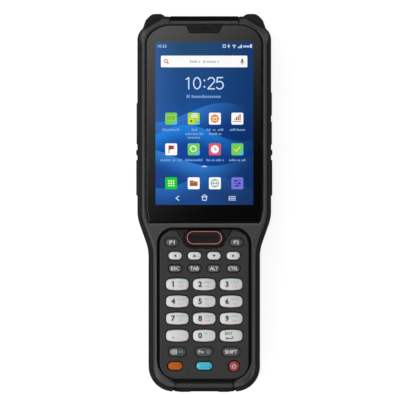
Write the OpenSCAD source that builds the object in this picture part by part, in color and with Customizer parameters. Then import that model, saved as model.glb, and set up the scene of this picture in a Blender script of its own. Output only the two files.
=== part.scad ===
// Portable barcode data terminal: a long hand-held housing with a display in the
// wider upper half, a keypad in the narrow grip, a scanner window in the top end,
// side triggers, a hinged port flap in the bottom end and a battery in the back.
// Lies on its back: X across, Y along the body towards the scanner end, Z up
// through the display. The origin is under the middle of the body, on its back.

/* [Body] */
// Width across the display half
head_w = 71.66; // [70.8:0.02:72]
// Width across the keypad grip
grip_w = 59.74; // [59.4:0.02:60.4]
// Distance from the middle to the top edge of the housings
top_y = 100; // [99.8:0.1:100.4]
// Distance from the middle to the bottom edge of the housings
bottom_y = 100.9; // [100.6:0.1:101.2]
// Corner radius at the bottom of the grip
bottom_r = 13.5; // [12:0.5:14]
// Thickness of the rubber side rails
rail_t = 2.3; // [2:0.1:2.5]
// Wall thickness of the housings
wall = 2; // [1.6:0.1:2.2]
// Height of the parting plane between the housings
seam_z = 15; // [14.9:0.05:15.1]
// Height of the front rim above the back
rim_z = 28; // [27.9:0.05:28.4]

/* [Display] */
// Half width of the touch glass
glass_hw = 31.3; // [30.8:0.1:31.4]
// Thickness of the touch glass
glass_t = 1.4; // [1:0.1:1.5]
// Width of the display module
display_w = 57; // [55:0.5:57]

/* [Keypad] */
// Half width of the keypad panel
panel_hw = 23.9; // [23.4:0.1:24]
// Column pitch of the number keys
digit_px = 14.4; // [14:0.1:14.6]
// Row pitch of the number keys
digit_py = 9.15; // [9:0.05:9.3]
// Width of a number key
digit_w = 12.1; // [11.4:0.1:12.3]
// Height of a number key
digit_h = 6.5; // [6:0.1:6.6]
// Gap round a key in the panel
key_gap = 0.25; // [0.2:0.05:0.3]
// Travel of the front keys
key_travel = 1; // [0.6:0.1:1]

/* [Ends and back] */
// Radius of the hinge pin of the port flap
pin_r = 0.75; // [0.6:0.05:0.9]
// Radial running clearance of the flap on its pin
pin_gap = 0.05; // [0.03:0.01:0.1]
// Depth of the finger recess in the back
recess_d = 4.5; // [3.5:0.5:4.5]
// Spacing across of the accessory screw inserts
insert_dx = 24; // [20:1:26]
// Spacing along of the accessory screw inserts
insert_dy = 20; // [16:1:20]

/* [Hidden] */

hw = head_w/2;
gw = grip_w/2;
in_wall = rail_t + wall;      // inset of the inner wall faces
z_ledge = 24.5;               // underside of the front plate
z_glass = 26;                 // seat of the touch glass
z_panel = 25.4;               // seat of the keypad panel
panel_t = 1.8;
z_flange = 24.2;              // underside of the front keys
flange_t = 0.9;
side_z = 17.5;                // height of the side keys
pin_y = -97.8;                // axis of the port flap
pin_z = 24.4;
barrel_r = 2.2;
flap_hw = 15.4;               // half width of the port flap
flat_in = 7.8;                // inset of the flat part of the back
cover_hw = 21.5;
cover_t = 2.4;
cover_y0 = -90;
cover_y1 = 12;
latch_travel = 3;
screw_xy = [[25.5, 87], [27, -4], [19, -92.5]];

// Plan outline, right half from the bottom up: x, y, corner radius
BODY = [[gw, -bottom_y, bottom_r], [gw, -24.7, 23], [hw, -7.9, 22],
    [hw, 91.9, 8], [22.6, top_y, 4]];
HORN = [[19.2, 92, 0.3], [33.2, 91.6, 1], [30.2, top_y + 1.4, 7.5],
    [20.9, top_y + 1.4, 0.8], [20.1, top_y, 0.3], [19.2, top_y, 0.2]];
GLASS = [[glass_hw, -10.73, 2.2], [glass_hw, 90.6, 6], [22.3, 95.85, 10]];
PANEL = [[panel_hw, -93.9, 8.2], [panel_hw, -13.9, 6.4]];
SURROUND = [[9.2, -24, 3.4], [13.6, -13.9, 0.2]];
// Outer section of the body, from the back up: inset, height
REAR_RINGS = [[flat_in, 0], [6.2, 0.5], [4.4, 1.5], [2.7, 3], [1.3, 5],
    [0.65, 6.95], [rail_t, 6.95], [rail_t, seam_z]];
RAIL_RINGS = [[0.65, 7], [0.2, 8.6], [0, 10.5], [0, 22], [0.35, 23.8],
    [1.1, 25.4], [rail_t, 26.65]];
FRONT_RINGS = [[rail_t, seam_z], [rail_t, 26.7], [rail_t + 0.25, rim_z - 0.4],
    [rail_t + 0.7, rim_z]];
EAR_RINGS = [[0, seam_z], [0, 16], [0, 22], [0.35, 23.8], [1.1, 25.4],
    [rail_t, 26.65]];

// Front keys: x, y, width, height, style, height above the panel seat
KEYS = [
    [0, -18.75, 21.4, 8.6, "stadium", 3.0],
    [-17.2, -20.9, 7.2, 4.3, "stadium", 2.5], [17.2, -20.9, 7.2, 4.3, "stadium", 2.5],
    [-15.5, -28.1, 7.1, 4.1, "stadium", 3.2], [-5.2, -28.1, 7.1, 4.1, "stadium", 3.2],
    [5.2, -28.1, 7.1, 4.1, "stadium", 3.2], [15.5, -28.1, 7.1, 4.1, "stadium", 3.2],
    [-15.5, -34.9, 7.1, 4.1, "stadium", 2.7], [-5.2, -34.9, 7.1, 4.1, "stadium", 2.7],
    [5.2, -34.9, 7.1, 4.1, "stadium", 2.7], [15.5, -34.9, 7.1, 4.1, "stadium", 2.7],
    for (r = [0:2]) for (c = [-1:1])
        [c*digit_px, -43.4 - r*digit_py, digit_w, digit_h, "pillow", 3.4],
    for (c = [-1:1]) [c*digit_px, -43.4 - 3*digit_py, digit_w, digit_h, "pillow", 3.4],
    [-14.4, -79.5, 9.4, 4.9, "stadium", 2.8], [0, -79.5, 9.4, 4.9, "stadium", 2.8],
    [14.4, -79.5, 9.4, 4.9, "stadium", 2.8],
    [-15.5, -87, 7.7, 4.2, "stadium", 2.9], [0, -87, 8.5, 4.2, "stadium", 2.9],
    [16, -87.2, 5.6, 5.6, "stadium", 2.9]];

// Rounded outlines: each corner becomes an arc, and d moves every edge inwards
function xy(p) = [p[0], p[1]];
function unit(v) = v/norm(v);
function left_of(v) = [-v[1], v[0]];
function turned(v, a) = [v[0]*cos(a) - v[1]*sin(a), v[0]*sin(a) + v[1]*cos(a)];
function corner(p0, p1, p2, d, n) =
    let (u = unit(xy(p1) - xy(p0)), v = unit(xy(p2) - xy(p1)),
        a = left_of(u), b = left_of(v), m = (a + b)/(1 + a*b),
        th = atan2(u[0]*v[1] - u[1]*v[0], u*v), s = th >= 0 ? 1 : -1,
        r = s > 0 ? max(p1[2] - d, 0.02) : p1[2] + d,
        c = xy(p1) + m*d + m*s*r)
    [for (k = [0:n]) c - s*r*turned(a, th*k/n)];
function both(half) = concat(half,
    [for (i = [len(half) - 1:-1:0]) [-half[i][0], half[i][1], half[i][2]]]);
function ring(pts, d = 0, n = 5) = let (k = len(pts))
    [for (i = [0:k - 1]) each corner(pts[(i + k - 1)%k], pts[i], pts[(i + 1)%k], d, n)];

// Triangles across an outline that is its own mirror image in X
function cap(k) = [for (i = [0:k/2 - 2]) each [[i, i + 1, k - 2 - i], [i, k - 2 - i, k - 1 - i]]];

// Solid through a stack of outlines, one per [inset, height] pair
module loft(pts, rings, n = 5, symmetric = true) {
    stack = [for (r = rings) [for (p = ring(pts, r[0], n)) [p[0], p[1], r[1]]]];
    k = len(stack[0]);
    h = len(rings);
    polyhedron(points = [for (s = stack) each s],
        faces = concat(symmetric ? cap(k) : [[for (i = [0:k - 1]) i]],
            [for (j = [0:h - 2]) for (i = [0:k - 1]) [j*k + i, (j + 1)*k + i, (j + 1)*k + (i + 1)%k]],
            [for (j = [0:h - 2]) for (i = [0:k - 1]) [j*k + i, (j + 1)*k + (i + 1)%k, j*k + (i + 1)%k]],
            symmetric ? [for (t = cap(k)) [t[0] + (h - 1)*k, t[2] + (h - 1)*k, t[1] + (h - 1)*k]]
                : [[for (i = [k - 1:-1:0]) (h - 1)*k + i]]), convexity = 8);
}

module prism(pts, z0, z1, d = 0, n = 5)
    translate([0, 0, z0]) linear_extrude(z1 - z0) polygon(ring(pts, d, n));

module block(x0, x1, y0, y1, z0, z1) translate([x0, y0, z0]) cube([x1 - x0, y1 - y0, z1 - z0]);

module round_rect(w, h, r) {
    square([w - 2*r, h], center = true);
    square([w, h - 2*r], center = true);
    for (x = [-1, 1], y = [-1, 1]) translate([x*(w/2 - r), y*(h/2 - r)]) circle(r, $fn = 48);
}

module stadium(w, h) {
    if (w > h) square([w - h, h], center = true);
    for (x = [-1, 1]) translate([x*(w - h)/2, 0]) circle(h/2, $fn = 48);
}

module pillow(w, h) intersection() {
    round_rect(w, h, 2.3);
    translate([0, h/2 - 26]) circle(26, $fn = 180);
    translate([0, 26 - h/2]) circle(26, $fn = 180);
}

module key_plan(w, h, style) if (style == "pillow") pillow(w, h); else stadium(w, h);

// Slot with round ends through a side wall, long along Y
module side_slot(x0, x1, y, len, h) {
    block(x0, x1, y - len/2 + h/2, y + len/2 - h/2, side_z - h/2, side_z + h/2);
    for (e = [-1, 1]) translate([x0, y + e*(len - h)/2, side_z]) rotate([0, 90, 0]) cylinder(r = h/2, h = x1 - x0, $fn = 48);
}

module side_bar(x0, x1, y, r) translate([x0, y, side_z]) rotate([0, 90, 0]) cylinder(r = r, h = x1 - x0, $fn = 32);

// ---- Housings -------------------------------------------------------------

module key_wells_left(g) {
    side_slot(-40, -rail_in(), 42.6, 22.5 + 2*g, 5 + 2*g);
    side_slot(-40, -rail_in(), 13.6, 19.5 + 2*g, 7 + 2*g);
}

module key_wells_right(g) {
    side_slot(rail_in(), 40, 53.1, 12.9 + 2*g, 5 + 2*g);
    side_slot(rail_in(), 40, 37.5, 12.9 + 2*g, 5 + 2*g);
    side_slot(rail_in(), 40, 13.6, 19.5 + 2*g, 7 + 2*g);
}

function rail_in() = hw - rail_t - 0.6;

module stem_holes() {
    for (y = [42.6 - 8, 42.6 + 8, 13.6 - 6, 13.6 + 6]) side_bar(-hw, -hw + 6, y, 1.3);
    for (y = [53.1, 37.5, 13.6 - 6, 13.6 + 6]) side_bar(hw - 6, hw, y, 1.3);
}

module front_boss(x, y) {
    translate([x, y, seam_z]) cylinder(r = 3, h = 7.2, $fn = 40);
    block(min(x, sign(x)*(abs(x) + 9)), max(x, sign(x)*(abs(x) + 9)), y - 1, y + 1, seam_z, seam_z + 7.2);
}

module front_housing() color([0.27, 0.27, 0.27]) difference() {
    union() {
        difference() {
            loft(both(BODY), FRONT_RINGS);
            prism(both(BODY), seam_z - 1, z_ledge, in_wall);
        }
        // lugs that carry the pin of the port flap
        intersection() {
            loft(both(BODY), EAR_RINGS);
            union() for (s = [-1, 1]) block(min(s*15.9, s*20.7), max(s*15.9, s*20.7), -102, -95.4, seam_z, 27);
        }
        intersection() {
            for (s = [-1, 1]) for (p = screw_xy) front_boss(s*p[0], p[1]);
            prism(both(BODY), seam_z, z_ledge, in_wall - 0.5);
        }
        // posts that hold the keypad board
        for (s = [-1, 1], y = [-31, -75]) translate([s*22.6, y, 20.4]) cylinder(r = 1.2, h = 4.3, $fn = 32);
    }
    // seat of the glass, opening of the display
    prism(both(GLASS), z_glass, 30, -0.12);
    block(-display_w/2 - 0.2, display_w/2 + 0.2, -8.2, 91.2, 22, 27);
    // seat of the keypad panel, opening under it
    prism(both(PANEL), z_panel, 30, -0.12);
    block(-21.8, 21.8, -91.8, -14.9, 24, 27);
    block(-11.6, 11.6, -15, -14.1, 24, 27);
    // trough of the flap's barrel and recess of the flap
    translate([-15.9, pin_y, pin_z]) rotate([0, 90, 0]) cylinder(r = 2.5, h = 31.8, $fn = 64);
    block(-15.9, 15.9, -103, pin_y, pin_z, 30);
    block(-15.9, 15.9, -103, -98.3, seam_z - 1, 30);
    block(-15.9, 15.9, -103, pin_y + 1.2, pin_z + 1.6, 30);
    translate([-20, pin_y, pin_z]) rotate([0, 90, 0]) cylinder(r = pin_r, h = 40, $fn = 48);
    for (s = [-1, 1]) for (p = screw_xy) translate([s*p[0], p[1], seam_z - 1]) cylinder(r = 1.02, h = 5.6, $fn = 32);
    stem_holes();
}

module rear_housing() color([0.2, 0.2, 0.21]) difference() {
    union() {
        difference() {
            loft(both(BODY), REAR_RINGS);
            intersection() {
                prism(both(BODY), 5, seam_z + 1, in_wall);
                union() {
                    block(-40, 40, 59, 110, 0, 20);
                    block(-40, 40, -110, 59, 6.7, 20);
                }
            }
            intersection() {
                prism(both(BODY), 2.2, 6, in_wall + 2);
                block(-40, 40, 60, 110, 0, 20);
            }
        }
        // lower half of the lugs beside the port flap
        intersection() {
            loft(both(BODY), [[0.65, 6.9], [0.2, 8.6], [0, 10.5], [0, seam_z]]);
            union() for (s = [-1, 1]) block(min(s*15.9, s*20.7), max(s*15.9, s*20.7), -102, -95.4, 5, seam_z);
        }
        // bosses of the housing screws and of the accessory inserts
        intersection() {
            for (s = [-1, 1]) for (p = screw_xy) translate([s*p[0], p[1], 1]) cylinder(r = 3, h = seam_z - 1, $fn = 40);
            prism(both(BODY), 0, seam_z, in_wall - 0.5);
        }
        for (x = [-1, 1], y = [-1, 1]) translate([x*insert_dx/2, 36 + y*insert_dy/2, 5]) cylinder(r = 3, h = 4.5, $fn = 40);
        block(-22, 22, -88, 6, 5, 14.8);
    }
    // battery bay and the seat of its cover
    block(-20.2, 20.2, -86.4, 4.2, -1, 13.4);
    translate([0, (cover_y0 + cover_y1)/2, -1]) linear_extrude(cover_t + 1) round_rect(2*cover_hw + 0.3, cover_y1 - cover_y0 + 0.3, 3.1);
    block(-4.3, 4.3, cover_y1 - 0.5, cover_y1 + 2.6, 0.75, 1.75);
    for (s = [-1, 1]) block(s*12 - 3.1, s*12 + 3.1, cover_y0 - 1.9, cover_y0 + 1, 1.2, cover_t);
    // finger recess across the back
    rotate([90, 0, 90]) translate([0, 0, -40]) linear_extrude(80)
        polygon([[14.6, -1], [14.6, 0], [22, recess_d], [50, recess_d], [57.4, 0], [57.4, -1]]);
    // recess of the port flap and the opening of the connector
    block(-15.9, 15.9, -103, -98.3, 4.2, seam_z + 1);
    translate([0, -94, 10.5]) rotate([90, 0, 0]) linear_extrude(12, center = true) stadium(9.6, 3.8);
    for (s = [-1, 1]) translate([s*10, -94, 10.5]) rotate([90, 0, 0]) cylinder(r = 1.6, h = 12, center = true, $fn = 32);
    // scanner opening, camera, flash and loudspeaker openings
    block(-12, 12, 94, 101, 7.6, 14);
    translate([4, 74, -1]) linear_extrude(2.4) stadium(22.3, 11.8);
    translate([0, 74, -1]) cylinder(r = 4.2, h = 5, $fn = 48);
    translate([11, 74, -1]) cylinder(r = 1.8, h = 5, $fn = 32);
    for (i = [-2:2]) translate([-18, 74 + 2.6*i, -1]) linear_extrude(5) stadium(11, 1.2);
    for (s = [-1, 1]) for (p = screw_xy) translate([s*p[0], p[1], 0]) {
        translate([0, 0, -1]) cylinder(r = 2.1, h = 5.8, $fn = 40);
        cylinder(r = 1.1, h = 20, $fn = 32);
    }
    for (x = [-1, 1], y = [-1, 1]) translate([x*insert_dx/2, 36 + y*insert_dy/2, 0]) cylinder(r = 1.9, h = 8.5, $fn = 40);
    // groove of the gasket
    difference() {
        prism(both(BODY), seam_z - 0.7, seam_z + 1, rail_t + 0.6);
        prism(both(BODY), seam_z - 2, seam_z + 2, rail_t + 1.5);
    }
}

module housing_gasket() color([0.1, 0.1, 0.1]) difference() {
    prism(both(BODY), seam_z - 0.7, seam_z, rail_t + 0.6);
    prism(both(BODY), seam_z - 2, seam_z + 2, rail_t + 1.5);
}

// Rubber rail along one side (s = -1 left, 1 right), with the horn at the top
module side_bumper(s) difference() {
    union() {
        intersection() {
            loft(both(BODY), RAIL_RINGS);
            union() {
                block(min(0, s*50), max(0, s*50), -95.4, 110, 0, 30);
                block(min(s*20.7, s*50), max(s*20.7, s*50), -110, -95, 0, 30);
            }
        }
        mirror([s < 0 ? 1 : 0, 0, 0]) loft(HORN, [[1, 7], [0.25, 8.6], [0, 10.5], [0, 22], [0.3, 24], [1.1, 26], [2.2, 27.2]], symmetric = false);
        // locating rib between the keys
        intersection() {
            translate([s*(hw - 1.33), 27.1, side_z - 4]) cylinder(r = 2, h = 8, $fn = 32);
            block(-36.5, 36.5, 20, 35, 0, 30);
        }
    }
    prism(both(BODY), 0, 30, rail_t);
    block(-18.8, 18.8, 90, 110, 0, 30);
    if (s < 0) key_wells_left(0.3); else key_wells_right(0.3);
}

module side_bumper_left() color([0.13, 0.13, 0.13]) side_bumper(-1);
module side_bumper_right() color([0.13, 0.13, 0.13]) side_bumper(1);

module housing_screws() color([0.55, 0.55, 0.56])
    for (s = [-1, 1]) for (p = screw_xy) translate([s*p[0], p[1], 0]) difference() {
        union() {
            translate([0, 0, 3.1]) cylinder(r = 1.9, h = 1.7, $fn = 40);
            translate([0, 0, 4.8]) cylinder(r = 1, h = 14.4, $fn = 32);
        }
        translate([0, 0, 3]) cylinder(r = 0.9, h = 1.1, $fn = 6);
    }

// ---- Display ----------------------------------------------------------------

module earpiece_plan(g = 0) polygon([[-10.4 - g, 97], [-7.8 - g, 91.3 - g], [7.8 + g, 91.3 - g], [10.4 + g, 97]]);

module touch_glass() color([0.05, 0.05, 0.06]) difference() {
    prism(both(GLASS), z_glass, z_glass + glass_t, 0, 6);
    translate([0, 0, z_glass - 1]) linear_extrude(4) earpiece_plan(0.05);
}

module display_module() color([0.1, 0.2, 0.45]) {
    block(-display_w/2, display_w/2, -8, 91, 22.6, z_glass);
    block(-9, 9, -7.6, 4, 22.2, 22.6);
}

module earpiece_grille() color([0.08, 0.08, 0.08]) difference() {
    intersection() {
        translate([0, 0, z_glass]) linear_extrude(1.2) earpiece_plan();
        prism(both(GLASS), z_glass, z_glass + 2);
    }
    translate([1.4, 93.4, z_glass + 0.7]) linear_extrude(2) stadium(5, 0.9);
}

// ---- Keypad -----------------------------------------------------------------

module keypad_panel() color([0.24, 0.24, 0.24]) difference() {
    prism(both(PANEL), z_panel, z_panel + panel_t);
    prism(both(SURROUND), z_panel - 1, 30, -0.05);
    block(-13.65, 13.65, -14, -13, 20, 30);
    for (i = [1:len(KEYS) - 1]) translate([KEYS[i][0], KEYS[i][1], z_panel - 1]) linear_extrude(5)
        key_plan(KEYS[i][2] + 2*key_gap, KEYS[i][3] + 2*key_gap, KEYS[i][4]);
}

module scan_key_surround() color([0.1, 0.08, 0.08]) difference() {
    prism(both(SURROUND), z_panel, z_panel + panel_t + 0.3);
    translate([KEYS[0][0], KEYS[0][1], z_panel - 1]) linear_extrude(5) stadium(KEYS[0][2] + 0.5, KEYS[0][3] + 0.5);
}

module keypad_mat() color([0.75, 0.75, 0.74]) {
    block(-21, 21, -89.2, -14.6, 20.4, 21.4);
    for (k = KEYS) translate([k[0], k[1], 21.3]) cylinder(r = 1.8, h = z_flange - key_travel - 0.1 - 21.3, $fn = 32);
}

module keypad_pcb() color([0.1, 0.35, 0.2]) {
    block(-23.8, 23.8, -89.4, -14.4, 19.2, 20.4);
    block(-9, 9, -40, -36, 17.6, 19.2);
}

module keycap(i) {
    k = KEYS[i];
    translate([k[0], k[1], z_panel - 0.4]) linear_extrude(k[5] + 0.4) key_plan(k[2], k[3], k[4]);
    translate([k[0], k[1], z_flange]) linear_extrude(flange_t) square([k[2] + 0.9, k[3] - 0.4], center = true);
}

module white_key(i) color([0.93, 0.93, 0.92]) keycap(i);
module dark_key(i) color([0.3, 0.3, 0.31]) keycap(i);
module key_scan() color([0.35, 0.03, 0.04]) keycap(0);
module key_orange() color([0.9, 0.38, 0.05]) keycap(26);
module key_blue() color([0.25, 0.75, 0.88]) keycap(27);
module key_power() color([0.85, 0.25, 0.3]) keycap(28);

// ---- Electronics --------------------------------------------------------------

module main_pcb() color([0.1, 0.35, 0.2]) {
    difference() {
        union() {
            block(-29.8, 29.8, 1, 78, 15.6, 16.8);
            block(-20, 20, 78, 94, 15.6, 16.8);
        }
        for (x = [-29.8, 29.8]) translate([x, 4, 15]) cylinder(r = 0.9, h = 3, $fn = 24);
    }
    block(-18, 4, 14, 46, 16.8, 18.6);
    block(8, 24, 20, 44, 16.8, 18.4);
    block(-12, 12, 50, 68, 13.4, 15.6);
    for (y = [42.6 - 8, 42.6 + 8, 13.6 - 6, 13.6 + 6]) block(-29.9, -26.5, y - 2, y + 2, 16.8, 19);
    for (y = [53.1, 37.5, 13.6 - 6, 13.6 + 6]) block(26.5, 29.9, y - 2, y + 2, 16.8, 19);
}

module scan_engine() color([0.15, 0.15, 0.16]) difference() {
    union() {
        block(-11, 11, 82, 95, 7.2, 14.4);
        for (x = [-6.5, 6.5]) translate([x, 95.8, 10.8]) rotate([90, 0, 0]) cylinder(r = 2.4, h = 1.2, $fn = 40);
    }
    for (x = [-6.5, 6.5]) translate([x, 96.5, 10.8]) rotate([90, 0, 0]) cylinder(r = 1.6, h = 1.6, $fn = 40);
}

module scan_window() color([0.12, 0.03, 0.04]) difference() {
    translate([0, 98.925, 16.95]) rotate([90, 0, 0]) linear_extrude(2.25, center = true) round_rect(36.4, 19.9, 1.2);
    translate([0, 100.5, 11.6]) rotate([90, 0, 0]) linear_extrude(1.6, center = true) round_rect(30, 7, 1.5);
}

module camera_module() color([0.12, 0.12, 0.13]) {
    block(-4.5, 4.5, 69.5, 78.5, 3.1, 6.6);
    translate([0, 74, 1.5]) cylinder(r = 3.4, h = 1.8, $fn = 48);
}

module camera_window() color([0.06, 0.06, 0.07])
    translate([4, 74, 0.4]) linear_extrude(1) stadium(22, 11.5);

module loudspeaker() color([0.2, 0.2, 0.2]) {
    block(-25, -11, 66.5, 81.5, 2.3, 6);
    translate([-18, 74, 5.9]) cylinder(r = 5.5, h = 1.2, $fn = 48);
}

module battery_pack() color([0.15, 0.15, 0.2]) {
    block(-19.9, 19.9, -86, 3.8, 2.6, 13.1);
}

module battery_cover() color([0.2, 0.2, 0.21]) difference() {
    union() {
        translate([0, (cover_y0 + cover_y1)/2, 0]) linear_extrude(cover_t) round_rect(2*cover_hw, cover_y1 - cover_y0, 3);
        for (s = [-1, 1]) block(s*12 - 2.9, s*12 + 2.9, cover_y0 - 1.6, cover_y0 + 1, 1.4, cover_t);
    }
    // pocket of the latch and the way out of its tongue
    block(-8.2, 8.2, 9.1 - 12.3, 9.1, -1, 1.65);
    block(-4.3, 4.3, 8, cover_y1 + 1, 0.85, 1.65);
}

module battery_latch() color([0.6, 0.1, 0.08]) {
    difference() {
        block(-7.9, 7.9, 0.6, 8.8, 0.25, 1.6);
        for (i = [0:3]) block(-6, 6, 2 + 1.7*i, 2.7 + 1.7*i, 0, 0.65);
    }
    block(-4, 4, 8.7, 13.9, 0.95, 1.6);
}

module accessory_inserts() color([0.8, 0.65, 0.3])
    for (x = [-1, 1], y = [-1, 1]) translate([x*insert_dx/2, 36 + y*insert_dy/2, recess_d]) difference() {
        cylinder(r = 1.9, h = 4, $fn = 40);
        translate([0, 0, -1]) cylinder(r = 1.05, h = 6, $fn = 32);
    }

// ---- Bottom end -----------------------------------------------------------------

module bottom_connector() color([0.6, 0.6, 0.62]) {
    difference() {
        translate([0, -94.2, 10.5]) rotate([90, 0, 0]) linear_extrude(7.8, center = true) stadium(8.94, 3.2);
        translate([0, -95.2, 10.5]) rotate([90, 0, 0]) linear_extrude(7.8, center = true) stadium(8.34, 2.6);
    }
    translate([0, -94, 10.5]) cube([6.7, 7, 0.7], center = true);
    for (s = [-1, 1]) translate([s*10, -94.2, 10.5]) rotate([90, 0, 0]) cylinder(r = 1.3, h = 7.8, center = true, $fn = 32);
    block(-13, 13, -90.3, -89, 7.5, 13.5);
}

module flap_pin() color([0.7, 0.7, 0.72])
    translate([-18.6, pin_y, pin_z]) rotate([0, 90, 0]) cylinder(r = pin_r, h = 37.2, $fn = 48);

module port_flap() color([0.14, 0.14, 0.14]) difference() {
    union() {
        translate([-flap_hw, pin_y, pin_z]) rotate([0, 90, 0]) cylinder(r = barrel_r, h = 2*flap_hw, $fn = 64);
        rotate([90, 0, 90]) translate([0, 0, -flap_hw]) linear_extrude(2*flap_hw)
            polygon([[-98.6, pin_z], [-99.98, pin_z + 0.3], [-100.9, 22.4], [-100.9, 6.2], [-100, 4.6], [-98.6, 4.6]]);
        for (s = [-1, 1]) block(s*10.6 - 3.1, s*10.6 + 3.1, -101.4, -100.8, 7, 11);
        // plug of the flap that seals the connector opening
        translate([0, -98.5, 10.5]) rotate([90, 0, 0]) linear_extrude(0.3, center = true) stadium(24.5, 5.4);
    }
    translate([-20, pin_y, pin_z]) rotate([0, 90, 0]) cylinder(r = pin_r + pin_gap, h = 40, $fn = 48);
}

// ---- Side keys --------------------------------------------------------------------

module volume_rocker() color([0.16, 0.16, 0.16]) {
    side_slot(-36.35, -34, 42.6, 22.5, 5);
    for (e = [-8, 8]) side_bar(-34.1, -31, 42.6 + e, 1);
    translate([-33.97, 42.6, side_z - 1.5]) cylinder(r = 0.4, h = 3, $fn = 24);
}

module side_key(y) {
    side_slot(34.1, 36.3, y, 12.9, 5);
    side_bar(30.7, 34.2, y, 1);
}

module side_key_upper() color([0.16, 0.16, 0.16]) side_key(53.1);
module side_key_lower() color([0.16, 0.16, 0.16]) side_key(37.5);

module scan_trigger(s) {
    if (s < 0) side_slot(-36.5, -34.45, 13.6, 19.5, 7); else side_slot(34.45, 36.5, 13.6, 19.5, 7);
    for (e = [-6, 6]) if (s < 0) side_bar(-34.6, -30.9, 13.6 + e, 1); else side_bar(30.9, 34.6, 13.6 + e, 1);
}

module scan_trigger_left() color([0.42, 0.06, 0.05]) scan_trigger(-1);
module scan_trigger_right() color([0.16, 0.16, 0.16]) scan_trigger(1);

front_housing();
rear_housing();
side_bumper_left();
side_bumper_right();
housing_gasket();
housing_screws();
touch_glass();
display_module();
earpiece_grille();
keypad_panel();
scan_key_surround();
keypad_mat();
keypad_pcb();
main_pcb();
scan_engine();
scan_window();
camera_module();
camera_window();
loudspeaker();
battery_pack();
battery_cover();
battery_latch();
accessory_inserts();
bottom_connector();
flap_pin();
port_flap();
volume_rocker();
side_key_upper();
side_key_lower();
scan_trigger_left();
scan_trigger_right();
key_scan();
dark_key(1);  // key_p1
dark_key(2);  // key_p2
white_key(3);  // key_left
white_key(4);  // key_up
white_key(5);  // key_down
white_key(6);  // key_right
dark_key(7);  // key_esc
dark_key(8);  // key_tab
dark_key(9);  // key_alt
dark_key(10);  // key_ctrl
white_key(11);  // key_1
white_key(12);  // key_2
white_key(13);  // key_3
white_key(14);  // key_4
white_key(15);  // key_5
white_key(16);  // key_6
white_key(17);  // key_7
white_key(18);  // key_8
white_key(19);  // key_9
white_key(20);  // key_dot
white_key(21);  // key_0
white_key(22);  // key_ent
dark_key(23);  // key_backspace
dark_key(24);  // key_fn
dark_key(25);  // key_shift
key_orange();
key_blue();
key_power();
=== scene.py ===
"""Looks of the portable barcode data terminal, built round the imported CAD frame.

Shapes are written in millimetres in the frame's own axes and scaled to metres as each mesh is made.
"""

import math

import bmesh
import bpy
from mathutils import Matrix, Quaternion, Vector
from mathutils.bvhtree import BVHTree


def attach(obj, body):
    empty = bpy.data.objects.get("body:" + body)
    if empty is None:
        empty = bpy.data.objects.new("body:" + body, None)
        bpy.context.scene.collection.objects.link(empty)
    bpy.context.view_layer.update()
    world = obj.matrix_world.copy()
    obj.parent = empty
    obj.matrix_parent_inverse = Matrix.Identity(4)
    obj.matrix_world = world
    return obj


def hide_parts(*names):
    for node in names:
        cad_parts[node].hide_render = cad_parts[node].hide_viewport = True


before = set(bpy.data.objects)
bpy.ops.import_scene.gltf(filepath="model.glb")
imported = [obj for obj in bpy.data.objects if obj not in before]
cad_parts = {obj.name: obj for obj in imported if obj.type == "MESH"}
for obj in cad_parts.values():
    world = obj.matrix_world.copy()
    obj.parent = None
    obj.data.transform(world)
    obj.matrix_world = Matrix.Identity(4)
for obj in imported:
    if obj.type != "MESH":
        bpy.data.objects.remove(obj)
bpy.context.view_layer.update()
scene = bpy.context.scene
MM = 0.001

# ---------------------------------------------------------------- dimensions (mm), as in the CAD source
HW, GW, TOP, BOTTOM = 35.83, 29.87, 100.0, 100.9
RAIL_T = 2.3
PIN_Y, PIN_Z = -97.8, 24.4
SIDE_Z = 17.5


def both(half):
    """A closed outline from its right half, listed from the bottom up."""
    return [tuple(p) for p in half] + [(-p[0], p[1], p[2]) for p in reversed(half)]


BODY = both([(GW, -BOTTOM, 13.5), (GW, -24.7, 23), (HW, -7.9, 22), (HW, 91.9, 8), (22.6, TOP, 4)])
GLASS = both([(29.8, -10.73, 1.3), (31.3, -3.4, 9), (31.3, 90.0, 9), (22.0, 95.5, 14)])
PANEL = both([(23.9, -93.9, 8.2), (23.9, -14.8, 7.2)])
OPENING = both([(25.35, -94.9, 11.4), (25.35, -12.98, 8.9)])
SURROUND = both([(9.15, -24.05, 5.0), (14.9, -13.95, 0.7)])

# name, x, y, width, height, outline, height above the panel seat, colour
SMALL, WIDE = (7.1, 4.1), (9.4, 4.9)
KEYS = [("scan", 0, -18.75, 21.4, 8.6, "stadium", 3.0, "scan"),
        ("p1", -17.2, -20.9, 7.2, 4.3, "stadium", 2.5, "dark"), ("p2", 17.2, -20.9, 7.2, 4.3, "stadium", 2.5, "dark")]
KEYS += [(k, x, -28.1, *SMALL, "stadium", 3.2, "white") for k, x in zip(("left", "up", "down", "right"), (-15.5, -5.2, 5.2, 15.5))]
KEYS += [(k, x, -34.9, *SMALL, "stadium", 2.7, "dark") for k, x in zip(("esc", "tab", "alt", "ctrl"), (-15.5, -5.2, 5.2, 15.5))]
KEYS += [(k, (i % 3 - 1) * 14.4, -43.4 - (i // 3) * 9.15, 12.1, 6.35, "pillow", 3.4, "white")
         for i, k in enumerate(("1", "2", "3", "4", "5", "6", "7", "8", "9", "dot", "0", "ent"))]
KEYS += [("backspace", -14.4, -79.5, *WIDE, "stadium", 2.8, "dark"), ("fn", 0, -79.5, *WIDE, "stadium", 2.8, "dark"),
         ("shift", 14.4, -79.5, *WIDE, "stadium", 2.8, "dark"), ("orange", -15.5, -87, 7.7, 4.2, "stadium", 2.9, "orange"),
         ("blue", 0, -87, 8.5, 4.2, "stadium", 2.9, "blue"), ("power", 16, -87.2, 5.6, 5.6, "stadium", 2.9, "red")]


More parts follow.
